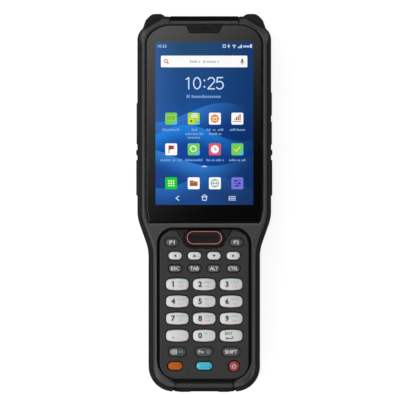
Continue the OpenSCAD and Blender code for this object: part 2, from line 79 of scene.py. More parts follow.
# ---------------------------------------------------------------- outlines
def corner(p0, p1, p2, d, n):
    """Points round one rounded corner of an outline whose edges are moved inwards by d."""
    ux, uy = p1[0] - p0[0], p1[1] - p0[1]
    vx, vy = p2[0] - p1[0], p2[1] - p1[1]
    lu, lv = math.hypot(ux, uy), math.hypot(vx, vy)
    ux, uy, vx, vy = ux / lu, uy / lu, vx / lv, vy / lv
    ax, ay, bx, by = -uy, ux, -vy, vx
    k = 1 + ax * bx + ay * by
    mx, my = (ax + bx) / k, (ay + by) / k
    th = math.atan2(ux * vy - uy * vx, ux * vx + uy * vy)
    s = 1 if th >= 0 else -1
    r = max(p1[2] - d, 0.02) if s > 0 else max(p1[2] + d, 0.02)
    cx, cy = p1[0] + mx * d + mx * s * r, p1[1] + my * d + my * s * r
    out = []
    for i in range(n + 1):
        t = th * i / n
        out.append((cx - s * r * (ax * math.cos(t) - ay * math.sin(t)), cy - s * r * (ax * math.sin(t) + ay * math.cos(t))))
    return out


def ring(pts, d=0.0, n=8):
    k = len(pts)
    return [q for i in range(k) for q in corner(pts[i - 1], pts[i], pts[(i + 1) % k], d, n)]


def moved(pts, x, y):
    return [(p[0] + x, p[1] + y, p[2]) for p in pts]


def rect(w, h, r, x=0.0, y=0.0):
    return [(x + w / 2, y - h / 2, r), (x + w / 2, y + h / 2, r), (x - w / 2, y + h / 2, r), (x - w / 2, y - h / 2, r)]


def stadium(w, h, x=0.0, y=0.0):
    return rect(w, h, min(w, h) / 2 * 0.985, x, y)


def pillow(w, h, x=0.0, y=0.0):
    s = h / 2 - 0.55
    return moved([(w / 2, -s, 2.2), (w / 2, s, 2.2), (0, h / 2 + 0.2, 26), (-w / 2, s, 2.2), (-w / 2, -s, 2.2), (0, -h / 2 - 0.2, 26)], x, y)


def circle(r, x=0.0, y=0.0):
    return rect(2 * r, 2 * r, r * 0.99, x, y)


def smooth(a, b, v):
    """0 at a, 1 at b, with no corner at either."""
    t = min(1.0, max(0.0, (v - a) / (b - a)))
    return t * t * (3 - 2 * t)


# ---------------------------------------------------------------- which way a shape faces
def front(u, v, w):
    return (u, v, w)


def back(u, v, w):
    return (-u, v, -w)


def top_end(u, v, w):
    return (-u, w, v)


def bottom_end(u, v, w):
    return (u, -w, v)


def right_side(u, v, w):
    return (w, u, v)


def left_side(u, v, w):
    return (-w, -u, v)


# ---------------------------------------------------------------- meshes
def mesh_object(name, verts, faces, slots=None):
    me = bpy.data.meshes.new(name)
    me.from_pydata([(x * MM, y * MM, z * MM) for x, y, z in verts], [], faces)
    if slots:
        me.polygons.foreach_set("material_index", slots)
    me.update()
    ob = bpy.data.objects.new(name, me)
    scene.collection.objects.link(ob)
    return ob


def tube_faces(rows, k, base=0, caps=True, wrap=False):
    faces = []
    for j in range(rows if wrap else rows - 1):
        for i in range(k):
            a, b = base + j * k + i, base + j * k + (i + 1) % k
            c, d = base + (j + 1) % rows * k + (i + 1) % k, base + (j + 1) % rows * k + i
            faces.append((a, b, c, d))
    if caps and not wrap:
        faces.append(tuple(base + i for i in reversed(range(k))))
        faces.append(tuple(base + (rows - 1) * k + i for i in range(k)))
    return faces


def solid(name, pts, profile, n=8, to=front):
    """A closed solid through a stack of outlines, one per (inset, height) pair, lowest first."""
    rows = [[(x, y, h) for x, y in ring(pts, d, n)] for d, h in profile]
    return mesh_object(name, [to(*p) for row in rows for p in row], tube_faces(len(rows), len(rows[0])))


def divided(row, stops):
    """The outline with more points where its long level edges cross those x values, and near the top of its long sides."""
    out = []
    for (ax, ay), (bx, by) in zip(row, row[1:] + row[:1]):
        out.append((ax, ay))
        if abs(ay - by) < 1e-6 and abs(bx - ax) > 36:
            out += [(x, ay) for x in sorted(stops, reverse=bx < ax)]
        if stops and abs(ax - bx) < 1e-6 and min(ay, by) < 80 < max(ay, by):
            out += [(ax, y) for y in sorted((84, 85.7), reverse=by < ay)]
    return out


def blended(name, pts, first, second, weight, n=8, third=None, share=None, stops=()):
    """A solid whose section turns from one profile into another, by a weight that depends on the place."""
    rows = []
    for k, ((d0, h0), (d1, h1)) in enumerate(zip(first, second)):
        a, b = divided(ring(pts, d0, n), stops), divided(ring(pts, d1, n), stops)
        c = divided(ring(pts, third[k][0], n), stops) if third else a
        row = []
        for (ax, ay), (bx, by), (cx, cy) in zip(a, b, c):
            w, v = weight(ax, ay), share(ax, ay) if third else 0.0
            row.append((ax + (bx - ax) * w + (cx - ax) * v, ay + (by - ay) * w + (cy - ay) * v, h0 + (h1 - h0) * w + ((third[k][1] if third else h0) - h0) * v))
        rows.append(row)
    return mesh_object(name, [p for row in rows for p in row], tube_faces(len(rows), len(rows[0])))


def block(name, x0, x1, y0, y1, z0, z1):
    v = [(x, y, z) for z in (z0, z1) for x, y in ((x0, y0), (x1, y0), (x1, y1), (x0, y1))]
    return mesh_object(name, v, tube_faces(2, 4))


def bar(name, r, x, y, z0, z1, to=front, n=10):
    return solid(name, circle(r, x, y), [(0, z0), (0, z1)], n, to)


def rounding(b, d, h, k=5):
    """The quarter round at the top of a solid of that height, whose sides are at inset d."""
    return [(d + b * (1 - math.cos(math.pi / 2 * i / k)), h - b + b * math.sin(math.pi / 2 * i / k)) for i in range(k + 1)]


def mouth(b, d, face, floor, k=5):
    """The profile of a cutter that enters at height face, stops at floor, and leaves the rim rounded by b."""
    rim = [(d - b * (1 - math.cos(a)), face - b + b * math.sin(a)) for a in [math.radians(84) * i / k for i in range(k + 1)]]
    return [(d, floor)] + rim + [(d - b * 1.04, face + 0.01), (d - b * 1.04, face + 3)]


def applied(ob):
    """The object with its modifiers made part of its mesh."""
    dg = bpy.context.evaluated_depsgraph_get()
    me = bpy.data.meshes.new_from_object(ob.evaluated_get(dg), depsgraph=dg)
    ob.modifiers.clear()
    old, ob.data = ob.data, me
    me.name = ob.name
    bpy.data.meshes.remove(old)
    return ob


def volume(ob):
    bm = bmesh.new()
    bm.from_mesh(ob.data)
    v = bm.calc_volume(signed=True) * 1e9
    loose = sum(1 for e in bm.edges if len(e.link_faces) != 2)
    bm.free()
    return v, loose


def combine(ob, others, operation):
    """Boolean of ob with each of the others, which are used up."""
    for o in others:
        before = volume(ob)
        m = ob.modifiers.new("b", "BOOLEAN")
        m.operation, m.object, m.solver = operation, o, "MANIFOLD"
        kept = ob.data.copy()
        applied(ob)
        after = volume(ob)
        if after[1] or abs(after[0] - before[0]) < 1e-5:
            old, ob.data = ob.data, kept
            bpy.data.meshes.remove(old)
            m = ob.modifiers.new("b", "BOOLEAN")
            m.operation, m.object, m.solver = operation, o, "EXACT"
            applied(ob)
            again = volume(ob)
            print(f"exact solver for {ob.name} with {o.name}: {before} {after} {again}")
        else:
            bpy.data.meshes.remove(kept)
        bpy.data.meshes.remove(o.data)
    return ob


def minus(ob, *others):
    return combine(ob, others, "DIFFERENCE")


def plus(ob, *others):
    return combine(ob, others, "UNION")


def common(ob, *others):
    return combine(ob, others, "INTERSECT")


def joined(name, *obs):
    """One object from several, each keeping its own material slots by position."""
    verts, faces, slots, mats = [], [], [], []
    for o in obs:
        base = len(verts)
        offset = len(mats)
        verts += [tuple(v.co / MM) for v in o.data.vertices]
        faces += [tuple(base + i for i in p.vertices) for p in o.data.polygons]
        slots += [offset + p.material_index for p in o.data.polygons]
        mats += list(o.data.materials) or [None]
        bpy.data.meshes.remove(o.data)
    made = mesh_object(name, verts, faces, slots)
    for m in mats:
        made.data.materials.append(m)
    return made


def shade(ob, angle=32, weighted=True):
    """Smooth shading that keeps real edges sharp and wide faces flat."""
    me = ob.data
    me.polygons.foreach_set("use_smooth", [True] * len(me.polygons))
    me.set_sharp_from_angle(angle=math.radians(angle))
    if weighted:
        m = ob.modifiers.new("flat faces stay flat", "WEIGHTED_NORMAL")
        m.mode, m.weight, m.keep_sharp = "FACE_AREA", 50, True
    return ob


def welded(ob, dist=0.0004):
    bm = bmesh.new()
    bm.from_mesh(ob.data)
    bmesh.ops.remove_doubles(bm, verts=bm.verts, dist=dist * MM)
    bmesh.ops.dissolve_degenerate(bm, edges=bm.edges, dist=dist * MM)
    bmesh.ops.recalc_face_normals(bm, faces=bm.faces)
    bm.to_mesh(ob.data)
    bm.free()
    return ob


def piece(ob, body, material, slot, *replaced, angle=32, weighted=True):
    """Finishes a piece of the object: its shading, material, body, and the CAD nodes it stands for."""
    shade(welded(ob), angle, weighted)
    mats = material if isinstance(material, (list, tuple)) else [material]
    ob.data.materials.clear()
    for m in mats:
        ob.data.materials.append(m)
    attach(ob, body)
    if replaced:
        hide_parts(*replaced)
    return ob


# ---------------------------------------------------------------- materials
def nodes_of(m):
    return m.node_tree.nodes, m.node_tree.links


def material(name, colour, rough=0.5, grain=0.0, grain_scale=2600.0, mottle=0.12, mottle_scale=70.0, rough_var=0.08,
             spec=0.5, metal=0.0, coat=0.0, coat_rough=0.05, scuff=0.0, scuff_colour=None, fine=0.0, ior=1.5,
             glow=None, glow_strength=1.0, sss=0.0, sss_radius=(0.001, 0.0005, 0.0003), tint=None):
    """A moulded or finished surface: base colour with slow mottling, fine grain in bump, and uneven gloss."""
    m = bpy.data.materials.new(name)
    m.use_nodes = True
    m.diffuse_color = (*colour, 1)
    n, l = nodes_of(m)
    p = n["Principled BSDF"]
    p.inputs["Specular IOR Level"].default_value = spec
    p.inputs["Metallic"].default_value = metal
    p.inputs["IOR"].default_value = ior
    p.inputs["Coat Weight"].default_value = coat
    p.inputs["Coat Roughness"].default_value = coat_rough
    if sss:
        p.inputs["Subsurface Weight"].default_value = sss
        p.inputs["Subsurface Radius"].default_value = sss_radius
        p.inputs["Subsurface Scale"].default_value = 1.0
    p.inputs["Base Color"].default_value = (*colour, 1)
    p.inputs["Roughness"].default_value = rough
    if glow is not None:
        p.inputs["Emission Color"].default_value = (*glow, 1)
        p.inputs["Emission Strength"].default_value = glow_strength
    at = n.new("ShaderNodeTexCoord")
    colour_out = None
    if mottle:
        # the base colour, made a little darker and lighter in slow patches
        slow = n.new("ShaderNodeTexNoise")
        slow.inputs["Scale"].default_value = mottle_scale
        slow.inputs["Detail"].default_value = 4.0
        slow.inputs["Roughness"].default_value = 0.6
        l.new(at.outputs["Object"], slow.inputs["Vector"])
        low = tuple(c * (1 - mottle) for c in colour)
        high = tuple(min(1.0, c * (1 + mottle)) for c in (tint or colour))
        mix = n.new("ShaderNodeMix")
        mix.data_type = "RGBA"
        mix.inputs[6].default_value = (*low, 1)
        mix.inputs[7].default_value = (*high, 1)
        l.new(slow.outputs["Fac"], mix.inputs[0])
        colour_out = mix.outputs[2]
    if fine and colour_out:
        speck = n.new("ShaderNodeTexNoise")
        speck.inputs["Scale"].default_value = grain_scale * 0.5
        speck.inputs["Detail"].default_value = 2.0
        l.new(at.outputs["Object"], speck.inputs["Vector"])
        ramp = n.new("ShaderNodeMapRange")
        ramp.inputs["From Min"].default_value = 0.35
        ramp.inputs["From Max"].default_value = 0.65
        ramp.inputs["To Min"].default_value = 1 - fine
        ramp.inputs["To Max"].default_value = 1 + fine
        l.new(speck.outputs["Fac"], ramp.inputs["Value"])
        scale = n.new("ShaderNodeVectorMath")
        scale.operation = "SCALE"
        l.new(colour_out, scale.inputs[0])
        l.new(ramp.outputs["Result"], scale.inputs["Scale"])
        colour_out = scale.outputs["Vector"]
    if rough_var:
        rough_out = n.new("ShaderNodeMapRange")
        rough_out.inputs["From Min"].default_value = 0.3
        rough_out.inputs["From Max"].default_value = 0.7
        rough_out.inputs["To Min"].default_value = max(0.02, rough - rough_var)
        rough_out.inputs["To Max"].default_value = min(1.0, rough + rough_var)
        wide = n.new("ShaderNodeTexNoise")
        wide.inputs["Scale"].default_value = mottle_scale * 2.3
        wide.inputs["Detail"].default_value = 5.0
        wide.inputs["Roughness"].default_value = 0.65
        l.new(at.outputs["Object"], wide.inputs["Vector"])
        l.new(wide.outputs["Fac"], rough_out.inputs["Value"])
        l.new(rough_out.outputs["Result"], p.inputs["Roughness"])
    if scuff and colour_out:
        # fine rubbed streaks, a shade lighter and glossier
        stretch = n.new("ShaderNodeMapping")
        stretch.inputs["Scale"].default_value = (900, 120, 500)
        l.new(at.outputs["Object"], stretch.inputs["Vector"])
        streak = n.new("ShaderNodeTexNoise")
        streak.inputs["Scale"].default_value = 1.0
        streak.inputs["Detail"].default_value = 3.0
        l.new(stretch.outputs["Vector"], streak.inputs["Vector"])
        cut = n.new("ShaderNodeMapRange")
        cut.inputs["From Min"].default_value = 0.62
        cut.inputs["From Max"].default_value = 0.78
        cut.inputs["To Max"].default_value = scuff
        l.new(streak.outputs["Fac"], cut.inputs["Value"])
        over = n.new("ShaderNodeMix")
        over.data_type = "RGBA"
        over.inputs[7].default_value = (*(scuff_colour or tuple(min(1.0, c * 2.5 + 0.02) for c in colour)), 1)
        l.new(cut.outputs["Result"], over.inputs[0])
        l.new(colour_out, over.inputs[6])
        colour_out = over.outputs[2]
    if colour_out:
        l.new(colour_out, p.inputs["Base Color"])
    if grain:
        tex = n.new("ShaderNodeTexNoise")
        tex.inputs["Scale"].default_value = grain_scale
        tex.inputs["Detail"].default_value = 2.0
        l.new(at.outputs["Object"], tex.inputs["Vector"])
        bump = n.new("ShaderNodeBump")
        bump.inputs["Strength"].default_value = grain
        bump.inputs["Distance"].default_value = 0.00008
        l.new(tex.outputs["Fac"], bump.inputs["Height"])
        l.new(bump.outputs["Normal"], p.inputs["Normal"])
    return m


def calc(tree, op, a, b=None):
    m = tree.nodes.new("ShaderNodeMath")
    m.operation = op
    for i, v in enumerate((a, b)):
        if isinstance(v, (int, float)):
            m.inputs[i].default_value = v
        elif v is not None:
            tree.links.new(v, m.inputs[i])
    return m.outputs[0]


def remap(tree, value, a, b, to=(0.0, 1.0), kind="SMOOTHSTEP"):
    r = tree.nodes.new("ShaderNodeMapRange")
    r.interpolation_type = kind
    r.inputs["From Min"].default_value, r.inputs["From Max"].default_value = a, b
    r.inputs["To Min"].default_value, r.inputs["To Max"].default_value = to
    tree.links.new(value, r.inputs["Value"])
    return r.outputs["Result"]


def mixed(tree, factor, a, b):
    m = tree.nodes.new("ShaderNodeMix")
    m.data_type = "RGBA"
    tree.links.new(factor, m.inputs[0])
    for i, v in ((6, a), (7, b)):
        if isinstance(v, tuple):
            m.inputs[i].default_value = (*v, 1)
        else:
            tree.links.new(v, m.inputs[i])
    return m.outputs[2]


def srgb(*c):
    """Linear colour from 0 to 255 display values."""
    return tuple((v / 255 / 12.92) if v <= 10.3 else ((v / 255 + 0.055) / 1.055) ** 2.4 for v in c)


M = {
    "housing": material("housing_plastic", srgb(32, 32, 32), 0.36, grain=0.1, grain_scale=4200, mottle=0.06, rough_var=0.04, spec=0.5),
    "rear": material("rear_plastic", srgb(36, 36, 36), 0.52, grain=0.16, grain_scale=3600, mottle=0.08, rough_var=0.05, spec=0.4),
    "rail": material("rail_rubber", srgb(26, 26, 26), 0.68, grain=0.08, grain_scale=4200, mottle=0.08, rough_var=0.05, spec=0.1),
    # black rubber for the housing gasket; the same colour is also painted shade on the keycap skirts and on the strips
    # in the keypad groove and the hinge notch
    "black_rubber_and_painted_shade": material("seal_rubber", srgb(12, 12, 12), 0.75, grain=0.1, spec=0.08),
    "panel": material("panel_plastic", srgb(22, 22, 22), 0.42, grain=0.1, grain_scale=4200, mottle=0.06, rough_var=0.04, spec=0.42),
    "surround": material("surround_gloss", srgb(14, 12, 12), 0.36, mottle=0.08, rough_var=0.04, spec=0.2),
    "glass": material("cover_glass", (0.0006, 0.0006, 0.0007), 0.035, mottle=0.0, rough_var=0.0),
    "glass_edge": material("cover_glass_edge", (0.002, 0.002, 0.002), 0.5, mottle=0.1, rough_var=0.05, spec=0.06),
    "grille": material("grille_black", srgb(9, 9, 9), 0.55, grain=0.1, grain_scale=3000, mottle=0.08, spec=0.2),
    "white": material("key_white", srgb(190, 190, 189), 0.34, grain=0.05, mottle=0.02, rough_var=0.05, coat=0.1, coat_rough=0.15),
    "dark": material("key_dark", srgb(50, 50, 52), 0.42, mottle=0.05, rough_var=0.04),
    "orange": material("key_orange", srgb(161, 79, 0), 0.36, grain=0.05, mottle=0.05, rough_var=0.05, spec=0.2),
    "blue": material("key_cyan", srgb(42, 158, 180), 0.3, grain=0.05, mottle=0.05, rough_var=0.05, coat=0.3, coat_rough=0.15, spec=0.5),
    "red": material("key_red", srgb(136, 42, 50), 0.36, grain=0.05, mottle=0.05, rough_var=0.05, spec=0.4),
    "scan": material("scan_key_red", srgb(36, 8, 11), 0.4, mottle=0.1, rough_var=0.04, spec=0.12),
    "scan_ring": material("scan_ring_pink", srgb(146, 104, 102), 0.45, mottle=0.06, rough_var=0.05),
    "scan_pad": material("scan_pad_black", srgb(12, 10, 10), 0.45, grain=0.08, grain_scale=4200, mottle=0.1, spec=0.15),
    "trigger": material("trigger_red", srgb(62, 16, 15), 0.5, grain=0.1, grain_scale=4200, mottle=0.12, rough_var=0.06, spec=0.2),
    "side": material("side_key_rubber", srgb(26, 26, 26), 0.62, grain=0.08, grain_scale=4200, mottle=0.1, spec=0.12),
    "flap": material("flap_rubber", srgb(12, 12, 12), 0.68, grain=0.08, grain_scale=4200, mottle=0.08, spec=0.08),
    "hinge": material("hinge_plastic", srgb(36, 36, 36), 0.42, grain=0.06, grain_scale=4200, mottle=0.06, rough_var=0.04, spec=0.35),
    "frame_gloss": material("window_frame_gloss", srgb(10, 10, 11), 0.16, mottle=0.1, rough_var=0.03, spec=0.4),
    "frame_black": material("window_frame_black", srgb(4, 4, 4), 0.6, grain=0.06, grain_scale=4200, mottle=0.1, rough_var=0.05, spec=0.05),
    "window": material("window_acrylic", (0.05, 0.003, 0.004), 0.08, mottle=0.25, mottle_scale=40, rough_var=0.03, coat=1.0, coat_rough=0.02),
    "latch": material("latch_red", srgb(196, 40, 34), 0.42, grain=0.2, mottle=0.08),
    "lens": material("lens_glass", (0.004, 0.003, 0.008), 0.05, mottle=0.4, mottle_scale=300, rough_var=0.02, coat=1.0, coat_rough=0.01),
    "steel": material("screw_steel", srgb(170, 170, 172), 0.3, grain=0.1, mottle=0.08, rough_var=0.1, metal=1.0),
    "pin": material("pin_steel", srgb(70, 70, 72), 0.45, mottle=0.08, rough_var=0.08, metal=1.0),
    "brass": material("insert_brass", srgb(214, 176, 96), 0.3, grain=0.1, mottle=0.1, rough_var=0.1, metal=1.0),
    "flash": material("flash_diffuser", srgb(240, 226, 160), 0.25, mottle=0.05, coat=0.8),
    "contact": material("connector_metal", srgb(176, 176, 180), 0.32, mottle=0.08, rough_var=0.1, metal=1.0),
    "mat": material("mat_silicone", srgb(206, 206, 202), 0.55, grain=0.15, mottle=0.05),
    "board": material("board_laminate", srgb(22, 84, 48), 0.4, grain=0.2, mottle=0.2, mottle_scale=300, rough_var=0.1),
    "module": material("module_metal", srgb(150, 152, 156), 0.38, grain=0.15, mottle=0.1, rough_var=0.1, metal=0.9),
    "module_plastic": material("module_plastic", srgb(34, 34, 36), 0.5, grain=0.3, mottle=0.1),
    "battery": material("battery_wrap", srgb(44, 46, 58), 0.42, grain=0.15, mottle=0.1),
    "display": material("display_panel", srgb(20, 22, 26), 0.25, grain=0.05, mottle=0.1),
    "legend_black": material("legend_black", srgb(18, 18, 20), 0.5, mottle=0.2, mottle_scale=400),
    "legend_light": material("legend_light", srgb(192, 192, 192), 0.5, mottle=0.05, mottle_scale=400),
    "legend_teal": material("legend_teal", srgb(70, 158, 168), 0.5, mottle=0.1, mottle_scale=400),
    "legend_orange": material("legend_orange", srgb(222, 132, 88), 0.5, mottle=0.1, mottle_scale=400),
}

# ---------------------------------------------------------------- front housing
CREST = 28.0
rim_side = [(2.32, 15.05), (2.32, 26.5), (2.35, 26.95), (2.45, 27.35), (2.62, 27.66), (2.85, 27.87), (3.1, 27.97), (3.35, CREST), (3.4, CREST)]
rim_grip = [(2.32, 15.05), (2.32, 26.3), (2.42, 26.72), (2.7, 27.12), (3.12, 27.5), (3.52, 27.78), (3.86, 27.94), (4.12, CREST), (4.2, CREST)]
rim_corner = [(0.95, 15.05), (0.95, 25.55), (1.02, 25.95), (1.3, 26.35), (1.85, 26.85), (2.45, 27.35), (2.95, 27.72), (3.3, 27.94), (3.4, CREST)]
front_housing = blended("front_housing_shell", BODY, rim_side, rim_grip, lambda x, y: smooth(-7, -32, y) * (1 + 0.9 * smooth(-82, -93, y)), 14,
                        rim_corner, lambda x, y: smooth(84, 90, y) * max(smooth(19.3, 22.5, abs(x)), 0.68 if abs(x) > 18.45 else 0), (-18.6, -18.3, 18.3, 18.6))
EAR = [(0.55, 15.05), (0.55, 21.2), (0.62, 22.3), (0.8, 23.3), (1.05, 24.2), (1.35, 24.9), (1.7, 25.5), (2.05, 25.95), (2.3, 26.2), (2.6, 26.4), (3.4, 26.5)]


def lugs(profile, z0, z1):
    ear = solid("ear", BODY, profile, 14)
    boxes = block("lug_boxes", 15.9, 16.9, -102, -97.0, z0, z1)
    other = block("lug_boxes", -16.9, -15.9, -102, -97.0, z0, z1)
    return common(ear, joined("lug_boxes", boxes, other))


def across(name, poly, half, flare=0.0, flare_z=1e9):
    """A solid with that outline in the side view (y, z), from -half to half across."""
    v = [(s * (half + (flare if z > flare_z else 0)), y, z) for s in (-1, 1) for y, z in poly]
    return mesh_object(name, v, tube_faces(2, len(poly)))


trough = [(-104, 14), (-98.3, 14), (-98.3, 21.95)]
trough += [(PIN_Y + 2.5 * math.cos(math.radians(a)), PIN_Z + 2.5 * math.sin(math.radians(a))) for a in range(-96, 38, 8)]
trough += [(-95.5, 25.9), (-95.5, 30), (-104, 30)]
NOTCH = both([(16.0, -96.65, 0.5), (20.2, -93.5, 0.5)])
seat_side = mouth(0.55, -0.4, CREST, 26.0)
seat_foot = [(-0.1, 26.0)] + [(-0.1 - 1.1 * i / 5, 27.56 + (CREST - 27.56) * i / 5) for i in range(6)] + [(-1.3, 28.01), (-1.3, 31)]
hinge_lugs = lugs(EAR, 15.0, 28)
minus(front_housing,
      blended("seat", GLASS, seat_side, seat_foot, lambda x, y: smooth(-9.5, -10.9, y), 12),
      solid("panel_seat", OPENING, mouth(0.3, 0.0, CREST, 25.4), 12),
      solid("inside", BODY, [(4.3, 14), (4.3, 24.5)], 6),
      block("display_opening", -28.7, 28.7, -8.2, 91.2, 22, 27),
      block("key_opening", -21.8, 21.8, -91.8, -14.9, 22, 27),
      block("scan_opening", -11.6, 11.6, -15.5, -14.1, 22, 27),
      across("trough", trough, 15.9),
      solid("notch", NOTCH, mouth(0.35, 0.0, CREST, 25.3), 8),
      *[block("parting", min(s * 18.18, s * 18.72), max(s * 18.18, s * 18.72), 95.9, 102, 21.0, 31) for s in (-1, 1)],
      bar("pin_hole", 0.8, PIN_Y, PIN_Z, -19, 19, right_side))
piece(front_housing, "terminal", M["housing"], "housing_plastic", "front_housing")
minus(hinge_lugs, across("trough", trough, 15.9), bar("pin_hole", 0.8, PIN_Y, PIN_Z, -19, 19, right_side))
# the hinge lugs take the flap's black rubber so that the gap beside the flap reads dark: painted shade
piece(hinge_lugs, "terminal", M["flap"], "housing_plastic")

# ---------------------------------------------------------------- rear housing
REAR = [(8.3, 0), (7.9, 0), (7.0, 0.13), (6.2, 0.4), (5.3, 0.84), (4.4, 1.4), (3.5, 2.12), (2.7, 2.95), (1.95, 3.95),
        (1.3, 5.05), (0.92, 5.95), (0.72, 6.7), (0.72, 6.85), (0.85, 6.95), (2.34, 6.95), (2.34, 14.95)]
rear_housing = solid("rear_housing_shell", BODY, REAR, 14)
minus(rear_housing, solid("inside", BODY, [(4.3, 6.7), (4.3, 16)], 6),
      solid("inside_top", both([(28.3, 60.5, 1), (28.3, 86, 5), (18, 92.5, 3)]), [(0, 2.2), (0, 7.5)], 6))
SCREWS = [(s * x, y) for x, y in ((25.5, 87), (27, -4), (19, -92.5)) for s in (-1, 1)]
INSERTS = [(x, y) for x in (-12, 12) for y in (26, 46)]
plus(rear_housing, lugs([(1.1, 6.6), (0.85, 7.2), (0.65, 8.6), (0.55, 10.5), (0.55, 14.95)], 5, 15),
     joined("bosses", *[bar("boss", 3.1, x, y, 3.4, 14.8) for x, y in SCREWS], *[bar("boss", 3.0, x, y, 5.0, 9.5) for x, y in INSERTS]),
     block("bay_walls", -22, 22, -88, 6, 5, 14.7))
recess = [(13.6, -1), (14.2, -0.1), (14.9, 0.16), (15.8, 0.62), (20.4, 3.72), (21.4, 4.24), (22.6, 4.5), (49.4, 4.5), (50.6, 4.24),
          (51.6, 3.72), (56.2, 0.62), (57.1, 0.16), (57.8, -0.1), (58.4, -1)]
minus(rear_housing,
      block("bay", -20.2, 20.2, -86.4, 4.2, -1, 13.4),
      solid("cover_seat", rect(43.3, 102.3, 3.1, 0, -39), mouth(0.35, 0, 0, -2.4), 10, back),
      across("recess", recess[::-1], 40),
      solid("camera_pocket", stadium(22.3, 11.8, -4, 74), mouth(0.3, 0, 0, -1.4), 12, back),
      bar("camera_hole", 4.2, 0, 74, -1, 4),
      bar("flash_hole", 1.8, 11, 74, -1, 4),
      *[solid("speaker_slot", stadium(11, 1.2, 18, 74 + 2.6 * i), mouth(0.22, 0, 0, -3.5), 8, back) for i in range(-2, 3)],
      *[solid("counterbore", circle(2.1, -x, y), mouth(0.2, 0, 0, -4.8), 10, back) for x, y in SCREWS],
      *[solid("insert_hole", circle(1.92, -x, y), mouth(0.25, 0, -4.5, -8.5), 10, back) for x, y in INSERTS],
      block("flap_recess", -15.9, 15.9, -103, -98.3, 4.2, 16),
      solid("connector_hole", stadium(9.6, 3.8, 0, 10.5), mouth(0.3, 0, 98.3, 88), 10, bottom_end),
      *[solid("pin_hole", circle(1.6, s * 10, 10.5), mouth(0.2, 0, 98.3, 88), 8, bottom_end) for s in (-1, 1)],
      block("scanner_opening", -12, 12, 90, 101, 7.6, 14))
piece(rear_housing, "terminal", M["rear"], "rear_plastic", "rear_housing")

# ---------------------------------------------------------------- rubber rails with the corner horns
RAIL = [(RAIL_T, 7.0), (0.95, 7.0), (0.62, 7.2), (0.4, 7.7), (0.2, 8.6), (0.06, 9.6), (0, 10.5), (0, 12.5), (0.25, 12.8), (0.25, 13.2),
        (0, 13.5), (0, 21.6), (0.05, 22.6), (0.2, 23.4), (0.45, 24.2), (0.62, 24.65), (0.8, 25.0), (1.0, 25.33), (1.2, 25.6), (1.42, 25.87), (1.65, 26.1), (1.84, 26.29), (2.02, 26.42), (2.18, 26.48), (RAIL_T, 26.4)]


HORN = ring([(20.9, 93.6, 0.5), (33.75, 91.2, 1.4), (31.5, 97.8, 3.4), (28.2, 101.38, 4.6), (22.9, 101.38, 2.8), (20.9, 100.1, 0.7)], 0, 9)


def reach(p, q):
    """How far the horn's outline lies beyond q, on the line from p through q."""
    length = math.hypot(q[0] - p[0], q[1] - p[1])
    ux, uy = (q[0] - p[0]) / length, (q[1] - p[1]) / length
    far = 0.0
    for (ax, ay), (bx, by) in zip(HORN, HORN[1:] + HORN[:1]):
        ex, ey = bx - ax, by - ay
        det = ex * uy - ey * ux
        if abs(det) < 1e-9:
            continue
        t = (ex * (ay - q[1]) - ey * (ax - q[0])) / det
        w = (ux * (ay - q[1]) - uy * (ax - q[0])) / det
        if 0 <= w <= 1:
            far = max(far, t)
    return far


def rail_section(p, q, bulge):
    """The rail's section between an inner point p and an outer point q, swollen outwards by bulge."""
    length = math.hypot(q[0] - p[0], q[1] - p[1])
    ux, uy = (q[0] - p[0]) / length, (q[1] - p[1]) / length
    row = []
    for d, z in RAIL:
        u = (RAIL_T - d) / RAIL_T
        if z < 21.5:
            out = u * RAIL_T + bulge * min(1.0, (RAIL_T - d) / 1.3)
        else:
            out = u * (RAIL_T + bulge)
            z += min(1.0, bulge / 3.0) * (1.15 * math.exp(-((u - 0.66) / 0.19) ** 2) - 0.55 * math.exp(-((u - 0.26) / 0.13) ** 2))
        k = out / RAIL_T * RAIL_T
        row.append((p[0] + ux * k, p[1] + uy * k, z))
    return row


def rail(name):
    n = 14
    inner, outer = (ring(BODY, d, n)[:5 * (n + 1)] for d in (RAIL_T, 0))
    stations = []
    for i in range(len(outer)):
        if outer[i][1] < -80 and inner[i][0] < 17.4:
            continue
        stations.append((inner[i], outer[i]))
        if i == 4 * (n + 1) - 1:
            for j in range(1, 17):
                t = j / 17
                stations.append(tuple((a[0] + (b[0] - a[0]) * t, a[1] + (b[1] - a[1]) * t) for a, b in ((inner[i], inner[i + 1]), (outer[i], outer[i + 1]))))
    for x in (21.25, 21.05, 20.93, 20.88, 20.6, 18.8):
        stations.append(((x, TOP - RAIL_T), (x, TOP)))
    sections = []
    for x, e in ((16.95, 0.5), (16.98, 0.28), (17.08, 0.1), (17.3, 0.0)):
        sections.append([(x, -87.4 - math.sqrt((13.5 - max(d, e)) ** 2 - (x - 16.35) ** 2), z - e if z > 21.5 else z + e if z < 8 else z) for d, z in RAIL])
    sections += [rail_section(p, q, reach(p, q) if q[1] > 80 else 0.0) for p, q in stations]
    ob = mesh_object(name, [p for s in sections for p in s], tube_faces(len(sections), len(RAIL)))
    welded(ob, 0.0)
    rib = solid("rib", stadium(8.0, 3.0, SIDE_Z, 27.1), [(0, HW - 1), (0, HW + 0.2), (0.15, HW + 0.45), (0.5, HW + 0.62), (0.9, HW + 0.66)], 8,
                lambda u, v, w: (w, v, u))
    welded(rib, 0.0)
    plus(ob, rib, block("end_tongue", 18.22, 19.3, 97.72, 99.7, 7.3, 24.2))
    return ob


def side_slot(face, y, length, h, floor, to):
    return solid("side_slot", stadium(length, h, y, SIDE_Z), mouth(0.35, 0, face, floor), 9, to)


